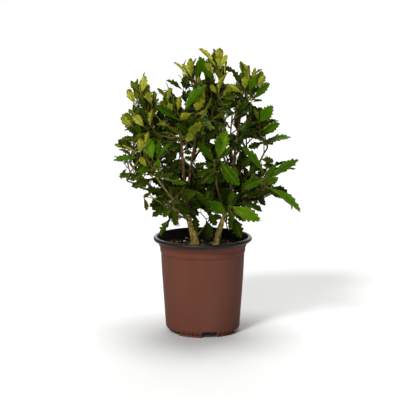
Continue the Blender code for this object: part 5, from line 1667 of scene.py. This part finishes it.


# Three tints of the upper side, three of the underside, then the rib and petiole. The tints are partly the
# leaves' own spread of colour and partly painted light and shade, for leaves that are lit or in shade
leafColours = {
    "young": [(0.045, 0.064, 0.002), (0.072, 0.094, 0.003), (0.099, 0.121, 0.006),
              (0.152, 0.168, 0.011), (0.230, 0.249, 0.022), (0.364, 0.381, 0.047), (0.157, 0.156, 0.015)],
    "bright": [(0.011, 0.047, 0.000), (0.020, 0.071, 0.000), (0.034, 0.100, 0.000),
               (0.056, 0.074, 0.003), (0.082, 0.097, 0.006), (0.109, 0.121, 0.011), (0.058, 0.097, 0.006)],
    "dark": [(0.005, 0.015, 0.001), (0.009, 0.023, 0.001), (0.015, 0.034, 0.001),
             (0.020, 0.028, 0.002), (0.028, 0.038, 0.003), (0.038, 0.049, 0.005), (0.031, 0.042, 0.005)],
}
leafSheen = (0.75, 1.0, 0.10)
leafGloss = {"young": 0.46, "bright": 0.38, "dark": 0.36, "under": 0.55}
leafMottle = {"young": 0.34, "bright": 0.22, "dark": 0.24}
tipBrown = {"colour": (0.100, 0.056, 0.009), "reach": (0.80, 1.0), "edge": 0.44,
            "grain": 150, "blotch": (0.42, 0.58)}
leafVeins = {"slant": -0.42, "turns": 62.0}


# A place on the blade: how far it is out from the rib, and how far along from the petiole
def bladePlace(material):
    nodes, links = material.node_tree.nodes, material.node_tree.links
    place = nodes.new("ShaderNodeUVMap")
    place.uv_map = "blade"
    split = nodes.new("ShaderNodeSeparateXYZ")
    links.new(place.outputs["UV"], split.inputs[0])
    across = addMath(material, "SUBTRACT", split.outputs["X"], 0.5)
    return addMath(material, "ABSOLUTE", across), split.outputs["Y"]


# Young leaves are tinged with brown near their tips and edges, in blotches
def brownTip(material, base):
    nodes, links = material.node_tree.nodes, material.node_tree.links
    out, onward = bladePlace(material)
    reach = addMath(material, "MULTIPLY_ADD", out, tipBrown["edge"], onward)
    shares = []
    blotch = addNoise(material, tipBrown["grain"], 3)
    for value, ends in ((reach, tipBrown["reach"]), (blotch, tipBrown["blotch"])):
        share = nodes.new("ShaderNodeMapRange")
        share.inputs["From Min"].default_value, share.inputs["From Max"].default_value = ends
        links.new(value, share.inputs["Value"])
        shares.append(share.outputs["Result"])
    blend = nodes.new("ShaderNodeMix")
    blend.data_type = "RGBA"
    links.new(addMath(material, "MULTIPLY", *shares), blend.inputs[0])
    links.new(base, blend.inputs[6])
    blend.inputs[7].default_value = (*tipBrown["colour"], 1)
    links.new(blend.outputs[2], nodes["Principled BSDF"].inputs["Base Color"])


# Side veins that slant forward from the rib
def veins(material):
    out, onward = bladePlace(material)
    slant = addMath(material, "MULTIPLY_ADD", out, leafVeins["slant"], onward)
    return addMath(material, "SINE", addMath(material, "MULTIPLY", slant, leafVeins["turns"]))


def leafFinishes(label, kind):
    finishes, patchy = [], leafMottle[kind]
    for n, colour in enumerate(leafColours[kind]):
        part = "top" if n < 3 else "under" if n < 6 else "rib"
        top = part == "top"
        rough = leafGloss[kind if top else "under"]
        name = f"{label} leaf {part} {n % 3 + 1}"
        material = newFinish(name, colour, rough, 0.20 if top else 0.05, leafSheen)
        low, high = (tuple(min(1, c * share) for c in colour) for share in (1 - patchy, 1 + patchy))
        mottle = rampColours(material, addNoise(material, 85, 3), [(0.30, low), (0.52, colour), (0.75, high)])
        if kind == "young":
            brownTip(material, mottle)
        shine = [(0.3, (rough - 0.06,)), (0.7, (rough + 0.09,))]
        rampColours(material, addNoise(material, 160, 2), shine, "Roughness")
        relief = [addNoise(material, 650, 3)] + ([veins(material)] if part != "rib" else [])
        addBump(material, relief, 0.22 if top else 0.35, 0.0005)
        finishes.append(material)
    return finishes


# Make everything
setCamera()
setStudio()
makePot()
print("pot made")
makeMix()
print("potting mix made")
limbLines = limbPaths()
makeBark(limbLines)
print("bark made")
crown, stemHeap, shootHeap = growCrown(limbLines)
massNames = list(masses)
stemHeap.piece("shoot_stems", [barkFinish("young wood", "young")], "bark", [])
shootHeap.piece("green_twigs", [barkFinish("green twig", "twig")], "leaves", massNames)
for leafPiece, heap in crown.heaps.items():
    label = leafPiece.replace("_", " ")
    heap.piece(leafPiece + "_leaves", leafFinishes(label, leafPieces[leafPiece]), "leaves", massNames)
    print(f"{label} leaves: {len(heap.faces)} faces")
print(f"{crown.count} leaves in all")
